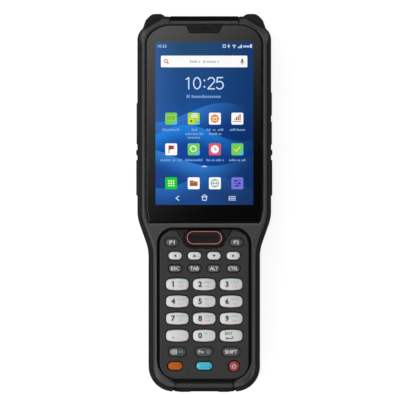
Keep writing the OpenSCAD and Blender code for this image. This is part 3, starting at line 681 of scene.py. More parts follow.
rail_right = rail("side_rail_right")
minus(rail_right, *[side_slot(HW, y, l + 0.6, h + 0.6, 32.5, right_side) for y, l, h in ((53.1, 12.9, 5), (37.5, 12.9, 5), (13.6, 19.5, 7))])
piece(rail_right, "terminal", M["rail"], "rail_rubber", "side_bumper_right")
rail_left = rail("side_rail_left")
rail_left.data.transform(Matrix.Diagonal((-1, 1, 1, 1)))
rail_left.data.flip_normals()
minus(rail_left, *[side_slot(HW, -y, l + 0.6, h + 0.6, 32.5, left_side) for y, l, h in ((42.6, 22.5, 5), (13.6, 19.5, 7))])
piece(rail_left, "terminal", M["rail"], "rail_rubber", "side_bumper_left")

# ---------------------------------------------------------------- glass, grille and scanner window
glass = solid("cover_glass_plate", GLASS, [(0.15, 26.0), (0, 26.15)] + rounding(0.75, 0, 27.4, 9) + [(0.85, 27.4)], 12)
EARPIECE = [(7.8, 90.95, 1.3), (10.4, 97, 0.4), (-10.4, 97, 0.4), (-7.8, 90.95, 1.3)]
minus(glass, solid("earpiece_notch", EARPIECE, mouth(0.2, -0.05, 27.4, 25), 8))
piece(glass, "terminal", [M["glass"], M["glass_edge"]], "cover_glass", "touch_glass")
for p in glass.data.polygons:
    p.material_index = 0 if p.center.z > 27.385 * MM or p.center.z < 26.01 * MM else 1

grille = solid("earpiece_cover", EARPIECE, [(0.1, 26.0)] + rounding(0.25, 0.1, 27.15) + [(0.45, 27.15)], 8)
common(grille, solid("glass_edge", GLASS, [(-0.25, 25), (-0.25, 28)], 12))
minus(grille, solid("ear_slot", stadium(5.4, 0.9, 1.4, 93.4), mouth(0.15, 0, 27.15, 26.5), 8),
      *[bar("ear_hole", 0.28, -6.2 + 0.95 * i, 93.4 + (0.5 if i % 2 else -0.5), 26.7, 28, n=4) for i in (0, 1, 2, 3, 12, 13)])
piece(grille, "terminal", M["grille"], "grille_black", "earpiece_grille")

frame_section = [(-97.72, 7.05), (-99.5, 7.05)] + [(-99.5 - 0.55 * math.sin(math.radians(t)), 7.6 - 0.55 * math.cos(math.radians(t))) for t in (15, 40, 65, 90)]
frame_section += [(-97.95 - 2.1 * math.cos(math.radians(t)), 24.8 + 2.1 * math.sin(math.radians(t))) for t in range(0, 91, 9)] + [(-97.72, 26.9)]
frame_section = [(-y, z, 0.02) for y, z in reversed(frame_section)]
window_frame = solid("scan_window_frame", frame_section, [(0.16, -18.2), (0.05, -18.09), (0, -17.9), (0, 17.9), (0.05, 18.09), (0.16, 18.2)], 1, right_side)
minus(window_frame, solid("pane_hole", rect(30.6, 7.6, 1.7, 0, 11.9), mouth(0.45, 0, 100.05, 98.6), 8, top_end),
      solid("frame_groove", stadium(31, 0.5, 0, 20.4), [(0, 99.75), (0, 101)], 4, top_end))
piece(window_frame, "terminal", M["frame_black"], "window_acrylic", "scan_window")
pane = solid("scan_window_pane", rect(30.5, 7.5, 1.65, 0, 11.9), [(0.1, 98.3)] + rounding(0.2, 0, 99.35) + [(0.3, 99.35)], 8, top_end)
piece(pane, "terminal", M["window"], "window_acrylic")

# ---------------------------------------------------------------- keypad panel and the surround of the scan key
panel = solid("keypad_panel_plate", PANEL, [(0.2, 25.42), (0, 25.6)] + rounding(0.5, 0, 27.2) + [(0.6, 27.2)], 12)


def key_outline(k):
    name, x, y, w, h, style, top, colour = k
    return (pillow if style == "pillow" else stadium)(w, h, x, y)


minus(panel, solid("surround_hole", SURROUND, mouth(0.25, -0.35, 27.2, 24), 8),
      *[solid("key_hole", key_outline(k), mouth(0.16, -0.35, 27.2, 24) if k[7] == "dark" else mouth(0.3, -0.42, 27.2, 24), 7) for k in KEYS[1:]])
piece(panel, "terminal", M["panel"], "panel_plastic", "keypad_panel")


def strip_round(name, outer, d0, d1, z0, z1, n=12):
    """A closed band of rectangular section between two insets of an outline, its top edges rounded."""
    b = 0.12
    path = [(d0, z0), (d0, z1 - b), (d0 + b * 0.3, z1 - b * 0.3), (d0 + b, z1), (d1 - b, z1), (d1 - b * 0.3, z1 - b * 0.3), (d1, z1 - b), (d1, z0)]
    rows = [[(x, y, z) for x, y in ring(outer, d, n)] for d, z in path]
    return mesh_object(name, [p for r in rows for p in r], tube_faces(len(rows), len(rows[0]), wrap=True))


# a black strip laid in the groove round the keypad panel: painted shade standing in for the groove's shadow
black_rubber_and_painted_shade = strip_round("keypad_groove_painted_shade", OPENING, 0.06, 1.4, 25.38, 25.85)
piece(black_rubber_and_painted_shade, "terminal", M["black_rubber_and_painted_shade"], "seal_rubber", weighted=False)
surround = solid("scan_key_bezel", SURROUND, [(0.2, 25.42), (0.05, 25.6)] + rounding(0.45, 0.05, 27.5) + [(0.6, 27.5)], 8)
minus(surround, solid("scan_hole", stadium(21.4, 8.6, 0, -18.75), mouth(0.3, -0.22, 27.5, 24), 12))
piece(surround, "terminal", M["surround"], "surround_gloss", "scan_key_surround")

# ---------------------------------------------------------------- keys
SKIRT = [(0.5, 24.2), (-0.35, 24.2), (-0.4, 24.3), (-0.4, 24.95), (-0.3, 25.05), (0, 25.08)]
HIGH_SKIRT = [(0.5, 24.2), (-0.28, 24.2), (-0.3, 24.3), (-0.3, 26.5), (-0.22, 26.66), (0, 26.72)]
DOME = [(0, -1.25), (0.03, -0.98), (0.12, -0.75), (0.28, -0.54), (0.52, -0.36), (0.85, -0.23), (1.3, -0.13), (1.85, -0.07), (2.45, -0.04), (3.0, -0.03)]
LOW_DOME = [(0, -1.0), (0.03, -0.78), (0.11, -0.57), (0.25, -0.39), (0.45, -0.25), (0.72, -0.14), (1.05, -0.07), (1.4, -0.025), (1.8, 0)]
caps = {}
for k in KEYS[1:]:
    name, x, y, w, h, style, height, colour = k
    top = 25.4 + height
    rows = [[(a, b, z) for a, b in ring(key_outline(k), d, 8)] for d, z in (HIGH_SKIRT if colour == "dark" else SKIRT)]
    rows += [[(a, b, top + z) for a, b in ring(key_outline(k), d, 8)] for d, z in (DOME if style == "pillow" else LOW_DOME)]
    rows += [[(x + (a - x) * t, y + (b - y) * t, z) for a, b, z in rows[-1]] for t in (0.8, 0.6, 0.4, 0.2, 0.05)]
    crown_x, crown_y = (0.75, 0.1) if style == "pillow" else (0.3, 0.12)
    verts = [(a, b, z if z < 25.2 else z - crown_x * (2 * (a - x) / w) ** 2 - crown_y * (2 * (b - y) / h) ** 2) for row in rows for a, b, z in row]
    cap = mesh_object(f"keycap_{name}", verts, tube_faces(len(rows), len(rows[0])))
    slot = {"white": "key_white", "dark": "key_dark", "orange": "key_orange", "blue": "key_cyan", "red": "key_red"}[colour]
    # below the panel the skirts of all but the dark keys get the black second material: painted shade in the gap round
    # each key
    caps[name] = piece(cap, f"key_{name}", [M[colour], M["dark" if colour == "dark" else "black_rubber_and_painted_shade"]], slot, f"key_{name}", weighted=False)
    for p in cap.data.polygons:
        p.material_index = 1 if p.center.z < 25.2 * MM else 0

scan_rim = [(0, 27.2), (0.06, 27.6), (0.25, 27.95), (0.55, 28.15), (0.95, 28.25), (1.15, 28.22), (1.65, 28.2), (2.2, 27.85), (2.75, 27.55), (3.0, 27.5), (3.6, 27.5)]
scan_cap = solid("keycap_scan", stadium(21.4, 8.6, 0, -18.75), SKIRT[1:] + scan_rim, 14)
caps["scan"] = piece(scan_cap, "key_scan", M["scan"], "scan_key_red", "key_scan", weighted=False)
loops = [[(x, y, z) for x, y in ring(stadium(18.7, 6.95, 0.12, -18.45), d, 14)]
         for d, z in ((0, 27.9), (0, 28.28), (0.07, 28.36), (0.2, 28.4), (0.33, 28.36), (0.4, 28.28), (0.4, 27.9))]
scan_ring = mesh_object("scan_key_ring", [p for r in loops for p in r], tube_faces(len(loops), len(loops[0]), wrap=True))
piece(scan_ring, "key_scan", M["scan_ring"], "scan_key_red", weighted=False)
scan_pad = solid("scan_key_pad", rect(14.6, 3.4, 1.4, 0, -18.75), [(0, 27.3), (0, 27.52), (0.08, 27.6), (0.25, 27.64), (0.7, 27.6), (1.4, 27.56)], 8)
piece(scan_pad, "key_scan", M["scan_pad"], "scan_key_red", weighted=False)


# ---------------------------------------------------------------- flat marks: legends and screen content
def polygon(points, slot=0, z=(0.0, 0.03)):
    return (list(points), [tuple(range(len(points)))], slot, z)


def disc(x, y, r, slot=0, z=(0.0, 0.03), n=24, squash=1.0):
    return polygon([(x + r * math.cos(2 * math.pi * i / n), y + squash * r * math.sin(2 * math.pi * i / n)) for i in range(n)], slot, z)


def tile(x, y, w, h, r=0.0, slot=0, z=(0.0, 0.03), n=4):
    pts = ring(rect(w, h, max(r, 0.01), x, y), 0, n) if r else [(x - w / 2, y - h / 2), (x + w / 2, y - h / 2), (x + w / 2, y + h / 2), (x - w / 2, y + h / 2)]
    return polygon(pts, slot, z)


def band(outer, inner, slot=0, z=(0.0, 0.03), closed=True):
    """The strip between two rows of points."""
    k = len(outer)
    pts = list(outer) + list(inner)
    faces = [(i, (i + 1) % k, k + (i + 1) % k, k + i) for i in range(k if closed else k - 1)]
    return (pts, faces, slot, z)


def hoop(x, y, r, width, slot=0, z=(0.0, 0.03), a0=0.0, a1=360.0, n=28):
    full = a1 - a0 >= 360
    steps = n if full else n + 1
    angles = [math.radians(a0 + (a1 - a0) * i / n) for i in range(steps)]
    return band([(x + (r + width / 2) * math.cos(a), y + (r + width / 2) * math.sin(a)) for a in angles],
                [(x + (r - width / 2) * math.cos(a), y + (r - width / 2) * math.sin(a)) for a in angles], slot, z, full)


def frame_mark(x, y, w, h, r, width, slot=0, z=(0.0, 0.03)):
    return band(ring(rect(w, h, r, x, y), 0, 4), ring(rect(w, h, r, x, y), width, 4), slot, z)


def line(points, width, slot=0, z=(0.0, 0.03), closed=False):
    """A stroke of even width along points, mitred at its bends."""
    k = len(points)
    left, right = [], []
    for i, (x, y) in enumerate(points):
        a = points[i - 1] if i or closed else None
        b = points[(i + 1) % k] if i < k - 1 or closed else None
        da = (x - a[0], y - a[1]) if a else (b[0] - x, b[1] - y)
        db = (b[0] - x, b[1] - y) if b else da
        la, lb = math.hypot(*da), math.hypot(*db)
        na, nb = (-da[1] / la, da[0] / la), (-db[1] / lb, db[0] / lb)
        q = 1 + na[0] * nb[0] + na[1] * nb[1]
        mx, my = ((na[0] + nb[0]) / q, (na[1] + nb[1]) / q) if q > 0.2 else na
        left.append((x + mx * width / 2, y + my * width / 2))
        right.append((x - mx * width / 2, y - my * width / 2))
    return band(right, left, slot, z, closed)


def words(text, x, y, height, width=None, slot=0, z=(0.0, 0.03), weight=0.0):
    """Plain lettering, scaled to that height and, if given, width, centred on a point."""
    cu = bpy.data.curves.new("t", "FONT")
    cu.body, cu.size, cu.resolution_u, cu.offset = text, 1.0, 3, weight
    ob = bpy.data.objects.new("t", cu)
    scene.collection.objects.link(ob)
    dg = bpy.context.evaluated_depsgraph_get()
    me = bpy.data.meshes.new_from_object(ob.evaluated_get(dg), depsgraph=dg)
    co = [(v.co.x, v.co.y) for v in me.vertices]
    faces = [tuple(p.vertices) for p in me.polygons]
    bpy.data.meshes.remove(me)
    bpy.data.objects.remove(ob)
    bpy.data.curves.remove(cu)
    x0, x1 = min(c[0] for c in co), max(c[0] for c in co)
    y0, y1 = min(c[1] for c in co), max(c[1] for c in co)
    sy = height / (y1 - y0)
    sx = sy if width is None else width / (x1 - x0)
    return ([(x + (a - (x0 + x1) / 2) * sx, y + (b - (y0 + y1) / 2) * sy) for a, b in co], faces, slot, z)


def marks(name, parts, mats, body, base, step=0.8):
    """Thin closed solids, one per flat part, that lie on a surface whose height base(x, y) gives."""
    verts, faces, slots = [], [], []
    for co, polys, index, (lo, hi) in parts:
        bm = bmesh.new()
        vs = [bm.verts.new((x, y, 0)) for x, y in co]
        for f in polys:
            try:
                bm.faces.new([vs[i] for i in f])
            except ValueError:
                pass
        bmesh.ops.remove_doubles(bm, verts=bm.verts, dist=0.002)
        bmesh.ops.dissolve_degenerate(bm, edges=bm.edges, dist=0.002)
        if step:
            if any(len(f.verts) > 4 for f in bm.faces):
                bmesh.ops.triangulate(bm, faces=bm.faces)
            for _ in range(4):
                long = [e for e in bm.edges if e.calc_length() > step]
                if not long:
                    break
                bmesh.ops.subdivide_edges(bm, edges=long, cuts=1)
                bmesh.ops.triangulate(bm, faces=[f for f in bm.faces if len(f.verts) > 4])
        bm.verts.index_update()
        k, at = len(bm.verts), len(verts)
        ground = [base(v.co.x, v.co.y) for v in bm.verts]
        verts += [(v.co.x, v.co.y, g + lo) for v, g in zip(bm.verts, ground)] + [(v.co.x, v.co.y, g + hi) for v, g in zip(bm.verts, ground)]
        for f in bm.faces:
            order = [v.index for v in f.verts]
            if f.normal.z < 0:
                order.reverse()
            faces.append(tuple(at + k + i for i in order))
            faces.append(tuple(at + i for i in reversed(order)))
            slots += [index, index]
        for e in bm.edges:
            if len(e.link_faces) == 1:
                f = e.link_faces[0]
                order = [v.index for v in f.verts]
                if f.normal.z < 0:
                    order.reverse()
                a, b = e.verts[0].index, e.verts[1].index
                i = order.index(a)
                if order[(i + 1) % len(order)] != b:
                    a, b = b, a
                faces.append((at + a, at + b, at + k + b, at + k + a))
                slots.append(index)
        bm.free()
    ob = mesh_object(name, verts, faces, slots)
    bm = bmesh.new()
    bm.from_mesh(ob.data)
    bmesh.ops.recalc_face_normals(bm, faces=bm.faces)
    bm.to_mesh(ob.data)
    bm.free()
    for m in mats:
        ob.data.materials.append(m)
    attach(ob, body)
    return ob


def surface_of(ob):
    """Height of an object's surface seen from the front, by place."""
    bm = bmesh.new()
    bm.from_mesh(ob.data)
    tree = BVHTree.FromBMesh(bm)
    bm.free()

    def height(x, y):
        hit = tree.ray_cast(Vector((x * MM, y * MM, 0.05)), Vector((0, 0, -1)))[0]
        return hit.z / MM if hit else 27.0
    return height


INK = (-0.04, 0.036)
L = [M["legend_black"], M["legend_light"], M["legend_teal"], M["legend_orange"]]
BLACK, LIGHT, TEAL, ORANGE = range(4)
at = {k[0]: (k[1], k[2]) for k in KEYS}
letters = {"1": ("@/", "F1"), "2": ("ABC", "F2"), "3": ("DEF", "F3"), "4": ("GHI", "F4"), "5": ("JKL", "F5"), "6": ("MNO", "F6"),
           "7": ("PQRS", "F7"), "8": ("TUV", "F8"), "9": ("WXYZ", "F9"), "0": ("+ -", None)}
legends = {}
for name, (upper, lower) in letters.items():
    x, y = at[name]
    parts = [words(name, x - 2.2, y + 0.12, 3.1, slot=BLACK, z=INK, weight=0.04)]
    if name == "1":
        parts.append(line([(x - 3.05, y + 0.95), (x - 2.2, y + 1.45)], 0.45, BLACK, INK))
    parts.append(words(upper, x + 2.0, y + 1.2, 1.35, min(1.45 * len(upper), 4.6), slot=TEAL, z=INK))
    if lower:
        parts.append(words(lower, x + 2.0, y - 1.2, 1.3, 2.1, slot=ORANGE, z=INK))
    legends[name] = parts
x, y = at["dot"]
legends["dot"] = [disc(x - 2.3, y - 1.0, 0.38, BLACK, INK), words(": ,", x + 1.9, y + 0.9, 1.0, 1.9, slot=TEAL, z=INK)]
x, y = at["ent"]
legends["ent"] = [words("ENT", x - 1.2, y + 1.2, 1.5, 4.0, slot=BLACK, z=INK, weight=0.01),
                  line([(x + 0.7, y - 0.25), (x + 0.7, y - 1.45), (x - 2.2, y - 1.45)], 0.42, BLACK, INK),
                  polygon([(x - 3.2, y - 1.45), (x - 2.0, y - 2.15), (x - 2.0, y - 0.75)], BLACK, INK)]
for name, d in (("left", (-1, 0)), ("right", (1, 0)), ("up", (0, 1)), ("down", (0, -1))):
    x, y = at[name]
    dx, dy = d
    legends[name] = [polygon([(x + dx * 0.85, y + dy * 0.7), (x - dx * 0.55 - dy * 0.95, y - dy * 0.5 + dx * 0.82), (x - dx * 0.55 + dy * 0.95, y - dy * 0.5 - dx * 0.82)], BLACK, INK)]
for name, text, width in (("esc", "ESC", 4.6), ("tab", "TAB", 4.6), ("alt", "ALT", 4.4), ("ctrl", "CTRL", 5.2), ("p1", "P1", 2.9), ("p2", "P2", 2.9), ("shift", "SHIFT", 6.5)):
    x, y = at[name]
    legends[name] = [words(text, x, y, 2.0, width, slot=LIGHT, z=INK, weight=0.02)]
x, y = at["fn"]
legends["fn"] = [words("Fn", x - 1.7, y, 1.9, 2.6, slot=LIGHT, z=INK, weight=0.008), hoop(x + 2.1, y, 0.8, 0.35, TEAL, INK)]
x, y = at["backspace"]
legends["backspace"] = [band(ring([(x - 3.6, y, 0.1), (x - 2.5, y - 1.2, 0.2), (x - 0.3, y - 1.2, 0.2), (x - 0.3, y + 1.2, 0.2), (x - 2.5, y + 1.2, 0.2)], 0, 3),
                             ring([(x - 3.6, y, 0.1), (x - 2.5, y - 1.2, 0.2), (x - 0.3, y - 1.2, 0.2), (x - 0.3, y + 1.2, 0.2), (x - 2.5, y + 1.2, 0.2)], 0.4, 3), LIGHT, INK),
                        line([(x - 2.1, y - 0.45), (x - 1.15, y + 0.45)], 0.3, LIGHT, INK), line([(x - 2.1, y + 0.45), (x - 1.15, y - 0.45)], 0.3, LIGHT, (-0.04, 0.026)),
                        words("DEL", x + 2.0, y, 1.2, 2.7, slot=TEAL, z=INK)]
x, y = at["power"]
legends["power"] = [hoop(x, y - 0.1, 1.0, 0.3, LIGHT, INK, 125, 415), line([(x, y + 0.1), (x, y + 1.4)], 0.34, LIGHT, INK)]
for name, parts in legends.items():
    marks(f"legend_{name}", parts, L, f"key_{name}", surface_of(caps[name]))

# ---------------------------------------------------------------- what the display shows: a plain page of generic pictograms
def lit(name, colour, mottle=0.04):
    """A lit area of the display: its light comes from below the same glossy cover."""
    m = material(name, (0.001, 0.001, 0.001), 0.05, mottle=0.0, rough_var=0.0, spec=0.1, glow=colour)
    tree = m.node_tree
    at = tree.nodes.new("ShaderNodeTexCoord")
    noise = tree.nodes.new("ShaderNodeTexNoise")
    noise.inputs["Scale"].default_value = 260.0
    tree.links.new(at.outputs["Object"], noise.inputs["Vector"])
    out = mixed(tree, noise.outputs["Fac"], tuple(c * (1 - mottle) for c in colour), tuple(c * (1 + mottle) for c in colour))
    tree.links.new(out, tree.nodes["Principled BSDF"].inputs["Emission Color"])
    return m


def wallpaper():
    """Layers of soft waves, each with a bright crest that fades downwards, over a blue gradient."""
    m = material("screen_wallpaper", (0.001, 0.001, 0.001), 0.05, mottle=0.0, rough_var=0.0, spec=0.1, glow=srgb(20, 75, 150))
    tree = m.node_tree
    at = tree.nodes.new("ShaderNodeTexCoord")
    place = tree.nodes.new("ShaderNodeSeparateXYZ")
    tree.links.new(at.outputs["Object"], place.inputs[0])
    x, y = calc(tree, "MULTIPLY", place.outputs["X"], 1000.0), calc(tree, "MULTIPLY", place.outputs["Y"], 1000.0)
    sky = mixed(tree, remap(tree, y, 30, 58), srgb(24, 88, 182), srgb(14, 70, 136))
    sky = mixed(tree, remap(tree, y, 58, 88), sky, srgb(20, 68, 108))
    sky = mixed(tree, remap(tree, x, -6, 30), sky, srgb(4, 52, 108))
    out = mixed(tree, remap(tree, x, -10, -34), sky, srgb(40, 92, 160))
    waves = ((48.5, 5.2, 0.085, 0.7, 15.0, (44, 112, 196), (8, 60, 140)), (37.5, 4.4, 0.105, 2.6, 12.0, (26, 128, 224), (10, 66, 150)),
             (25.0, 5.0, 0.078, 4.4, 11.0, (44, 122, 206), (20, 66, 140)), (11.5, 3.6, 0.12, 1.2, 10.0, (36, 98, 180), (28, 70, 136)))
    for level, swing, pitch, phase, deep, crest, foot in waves:
        wave = calc(tree, "MULTIPLY", calc(tree, "SINE", calc(tree, "ADD", calc(tree, "MULTIPLY", x, pitch), phase)), swing)
        below = calc(tree, "SUBTRACT", calc(tree, "ADD", wave, level), y)
        body = mixed(tree, remap(tree, below, -0.5, deep), srgb(*crest), srgb(*foot))
        body = mixed(tree, remap(tree, x, -8, 30), body, srgb(*[int(v * 0.72) for v in foot]))
        out = mixed(tree, remap(tree, below, -0.12, 0.25), out, body)
    tree.links.new(out, tree.nodes["Principled BSDF"].inputs["Emission Color"])
    return m


PALETTE = {"white": (250, 250, 250), "text": (206, 224, 244), "caption": (124, 162, 208), "grey": (176, 176, 176), "ink": (70, 66, 70), "red": (184, 52, 54), "rose": (222, 92, 106),
           "orange": (234, 136, 40), "yellow": (226, 222, 60), "lime": (168, 216, 58), "green": (112, 206, 92), "leaf": (28, 204, 28), "teal": (66, 146, 120),
           "cyan": (76, 196, 240), "violet": (118, 116, 214), "indigo": (62, 40, 164), "brown": (150, 98, 70), "moss": (60, 140, 60), "navy": (20, 40, 80)}
LIT = {k: lit(f"screen_{k}", srgb(*v)) for k, v in PALETTE.items()}
lit_index = {k: i for i, k in enumerate(PALETTE)}
PAGE, TILE, GLYPH, SECOND = (-0.05, 0.02), (-0.02, 0.04), (0.0, 0.055), (0.02, 0.07)


def glass_top(x, y):
    return 27.4


def greek(x0, y, width, height, colour, z=GLYPH, seed=1):
    """A line of unreadable text, drawn as short strokes grouped into words."""
    parts, x, k = [], x0, seed
    step = height * 0.62
    while x < x0 + width - step * 0.5:
        k = (k * 73 + 41) % 97
        if k % 6 == 0 and x > x0 + step * 2:
            x += step * 0.7
            continue
        tall = height * (1.0 if k % 3 == 0 else 0.72)
        parts.append(tile(x + step * 0.36, y - height / 2 + tall / 2, step * 0.72, tall, 0, lit_index[colour], z))
        x += step
    return parts


def C(name):
    return lit_index[name]


page = []
# status row
page += [words("10:25", -22.5, 84.0, 1.5, 4.6, C("text"), GLYPH)]
page += [frame_mark(10.7, 84.0, 1.7, 1.8, 0.3, 0.35, C("text"), GLYPH), tile(13.1, 84.0, 0.5, 1.9, 0, C("text"), GLYPH), tile(13.1, 84.0, 1.3, 0.45, 0, C("text"), SECOND),
         *[hoop(16.0, 83.2, r, 0.4, C("text"), GLYPH, 45, 135, 10) for r in (0.7, 1.35)], disc(16.0, 83.2, 0.32, C("text"), GLYPH, 10),
         *[tile(18.1 + 0.62 * i, 83.15 + 0.24 * i, 0.45, 0.5 + 0.48 * i, 0, C("text"), GLYPH) for i in range(4)]]
page += greek(20.9, 84.0, 3.2, 1.4, "text", seed=9)
page += [tile(25.0, 83.95, 1.0, 1.75, 0.15, C("text"), GLYPH), tile(25.0, 84.95, 0.5, 0.3, 0, C("text"), SECOND)]
# search bar
page += [tile(-0.08, 75.78, 46.2, 6.2, 0.45, C("white"), TILE, 4), hoop(-20.5, 76.0, 0.85, 0.42, C("red"), GLYPH), line([(-19.9, 75.4), (-19.1, 74.5)], 0.5, C("red"), SECOND)]
page += greek(-7.6, 75.8, 15.2, 1.35, "grey", seed=5)
page += [tile(20.3, 76.3, 0.95, 1.9, 0.45, C("ink"), GLYPH), hoop(20.3, 76.1, 1.1, 0.3, C("ink"), GLYPH, 190, 350, 12), tile(20.3, 74.5, 0.35, 0.9, 0, C("ink"), GLYPH)]
# clock and date
def curve(x, y, rx, ry, a0, a1, n=16):
    return [(x + rx * math.cos(math.radians(a0 + (a1 - a0) * i / n)), y + ry * math.sin(math.radians(a0 + (a1 - a0) * i / n))) for i in range(n + 1)]


y, pen = 64.15, 0.66
page += [line([(-9.9, y + 1.95), (-8.3, y + 3.0)], pen, C("text"), GLYPH), line([(-8.3, y + 3.3), (-8.3, y - 3.3)], pen, C("text"), SECOND)]
page += [line(curve(-3.85, y, 1.85, 3.0, 0, 345, 23), pen, C("text"), GLYPH, closed=True)]
page += [disc(0.1, y + 1.5, 0.5, C("text"), GLYPH, 14), disc(0.1, y - 1.9, 0.5, C("text"), GLYPH, 14)]
page += [line(curve(3.7, y + 1.35, 1.75, 1.65, 165, -28) + [(1.95, y - 2.9)], pen, C("text"), GLYPH), line([(1.75, y - 3.0), (5.7, y - 3.0)], pen, C("text"), SECOND)]
page += [line([(10.0, y + 3.0), (7.0, y + 3.0), (6.7, y + 0.25)], pen, C("text"), GLYPH), line(curve(8.2, y - 1.05, 1.95, 2.0, 128, -150, 18), pen, C("text"), SECOND)]
page += greek(-9.5, 57.1, 19.0, 1.6, "caption", seed=4)


def app(x, y, ground):
    return [tile(x, y, 6.35, 6.35, 0.75, C(ground), TILE, 5)]


def corner_spot(x, y):
    return [disc(x + 2.1, y - 2.1, 1.05, C("cyan"), SECOND, 16)]


columns = (-17.7, -5.65, 5.67, 17.7)
x, y = columns[0], 45.2
page += app(x, y, "green") + corner_spot(x, y) + [tile(x, y + 0.4, 4.6, 2.9, 0.2, C("lime"), GLYPH)]
page += [tile(x - 1.85 + 0.52 * i, y + 0.4, (0.3, 0.16, 0.24)[i % 3], 2.1, 0, C("moss"), SECOND) for i in range(8)]
x = columns[1]
page += app(x, y, "lime") + corner_spot(x, y) + [tile(x - 1.3, y - 1.3, 2.7, 2.7, 0.2, C("yellow"), GLYPH), disc(x - 1.3, y - 1.3, 0.7, C("moss"), SECOND, 16)]
page += [tile(x + 0.4, y + 0.9 + 0.85 * i, 4.0 - 0.7 * i, 0.42, 0, C("white"), GLYPH) for i in range(3)]
x = columns[2]
page += app(x, y, "white") + [disc(x, y, 2.35, C("orange"), GLYPH, 8), frame_mark(x, y - 0.1, 2.3, 2.0, 0.15, 0.32, C("white"), SECOND), tile(x, y + 0.45, 2.0, 0.28, 0, C("white"), (0.03, 0.08))]
x = columns[3]
page += app(x, y, "white") + [tile(x - 1.4 + 0.95 * i, y - 0.4 + 0.4 * i, 0.62, 1.0 + 0.8 * i, 0, C(("grey", "ink", "red", "brown")[i]), GLYPH) for i in range(4)]
page += [tile(x, y - 1.55, 4.4, 0.35, 0, C("red"), GLYPH)]
y = 28.8
x = columns[0]
page += app(x, y, "white") + [tile(x - 1.2, y, 0.42, 4.2, 0, C("ink"), GLYPH), polygon([(x - 1.0, y + 2.1), (x - 1.0, y - 0.3), (x + 1.9, y + 0.3), (x + 1.3, y + 1.1), (x + 1.9, y + 1.9)], C("red"), SECOND)]
x = columns[1]
page += app(x, y, "green") + corner_spot(x, y) + [hoop(x - 0.2, y + 0.3, 1.45, 0.5, C("white"), GLYPH), line([(x + 0.8, y - 0.8), (x + 1.6, y - 1.6)], 0.55, C("orange"), SECOND)]
x = columns[2]
page += app(x, y, "rose") + [disc(x, y, 2.15, C("white"), GLYPH, 28), line([(x, y + 1.35), (x, y), (x + 0.95, y - 0.45)], 0.36, C("ink"), SECOND)]
x = columns[3]
page += app(x, y, "green") + corner_spot(x, y) + [line([(x - 1.6, y + 0.1), (x - 0.5, y - 1.0), (x + 1.5, y + 1.5)], 0.7, C("yellow"), GLYPH)]
y = 10.65
x = columns[0]
page += app(x, y, "leaf") + [disc(x + 1.25 * i, y + 1.25 * j, 0.42, C("white"), GLYPH, 12) for i in (-1, 0, 1) for j in (-1, 0, 1)]
x = columns[1]
page += app(x, y, "white") + [polygon([(x - 2.1, y - 1.5), (x + 2.1, y - 1.5), (x + 2.1, y + 1.0), (x - 2.1, y + 1.0)], C("brown"), GLYPH), tile(x - 1.15, y + 1.2, 1.9, 0.7, 0.15, C("brown"), GLYPH), tile(x, y + 0.35, 4.2, 0.28, 0, C("orange"), SECOND)]
x = columns[2]
page += app(x, y, "white") + [hoop(x, y, 2.0, 0.42, C("teal"), GLYPH), band([(x + 0.95 * math.cos(a), y + 1.85 * math.sin(a)) for a in [math.tau * i / 24 for i in range(24)]], [(x + 0.62 * math.cos(a), y + 1.62 * math.sin(a)) for a in [math.tau * i / 24 for i in range(24)]], C("teal"), SECOND), tile(x, y, 3.9, 0.34, 0, C("moss"), (0.03, 0.08))]
x = columns[3]
page += app(x, y, "violet") + [tile(x, y + j * 1.3, 3.9, 0.38, 0, C("indigo"), GLYPH) for j in (-1, 0, 1)] + [disc(x + i, y + j * 1.3, 0.62, C("indigo"), SECOND, 14) for i, j in ((-0.9, 1), (1.0, 0), (-0.3, -1))]
# captions
for x0, y, width, seed in ((-22.4, 39.3, 9.6, 2), (-6.7, 39.3, 2.8, 5), (-10.1, 37.1, 9.6, 8), (-9.0, 35.2, 7.6, 11), (1.2, 39.3, 8.9, 14), (2.5, 37.1, 6.4, 17), (13.7, 39.3, 8.4, 20),
                           (-23.4, 23.1, 11.5, 23), (-10.1, 23.1, 9.5, 26), (1.2, 23.1, 9.2, 29), (13.3, 23.1, 9.0, 32)):
    page += greek(x0, y, width, 1.25, "caption", seed=seed)
# page marker and the three navigation marks
page += [polygon([(-1.6, 19.35), (1.9, 19.35), (0.15, 20.15)], C("text"), GLYPH)]
page += [line([(-13.5, 3.9), (-15.1, 2.65), (-13.5, 1.4)], 0.5, C("text"), GLYPH), frame_mark(0.12, 2.45, 2.5, 2.2, 0.4, 0.45, C("text"), GLYPH), line([(-1.5, 3.3), (0.12, 4.5), (1.74, 3.3)], 0.42, C("text"), SECOND)]
page += [tile(13.4, 2.6, 0.5, 2.4, 0, C("text"), GLYPH)] + [tile(15.4, 2.6 + 0.92 * j, 2.8, 0.42, 0, C("text"), GLYPH) for j in (-1, 0, 1)]
marks("screen_picture", [tile(0.05, 42.65, 52.3, 87.1, 0.05, 0, PAGE, 2)], [wallpaper()], "terminal", glass_top, step=None)
for group in range(0, len(PALETTE), 3):
    keys = list(PALETTE)[group:group + 3]
    parts = [(co, polys, i - group, z) for co, polys, i, z in page if group <= i < group + 3]
    if parts:
        marks("screen_" + "_".join(keys), parts, [LIT[k] for k in keys], "terminal", glass_top, step=None)

# ---------------------------------------------------------------- side keys and triggers
def side_key(name, node, length, h, y, outer, to, mat, slot, grooves):
    sign = -1 if to is left_side else 1
    ob = solid(name, stadium(length, h, sign * y, SIDE_Z), [(0.1, outer - 2.1), (0, outer - 1.9)] + rounding(0.75, 0, outer, 6) + [(0.95, outer)], 9, to)
    cutters = [solid("groove", stadium(0.55, h - 2.6, sign * (y + g), SIDE_Z), [(0, outer - 0.28), (-0.1, outer - 0.05), (-0.2, outer + 0.5)], 4, to) for g in grooves]
    if cutters:
        minus(ob, *cutters)
    return piece(ob, node, M[mat], slot, node)


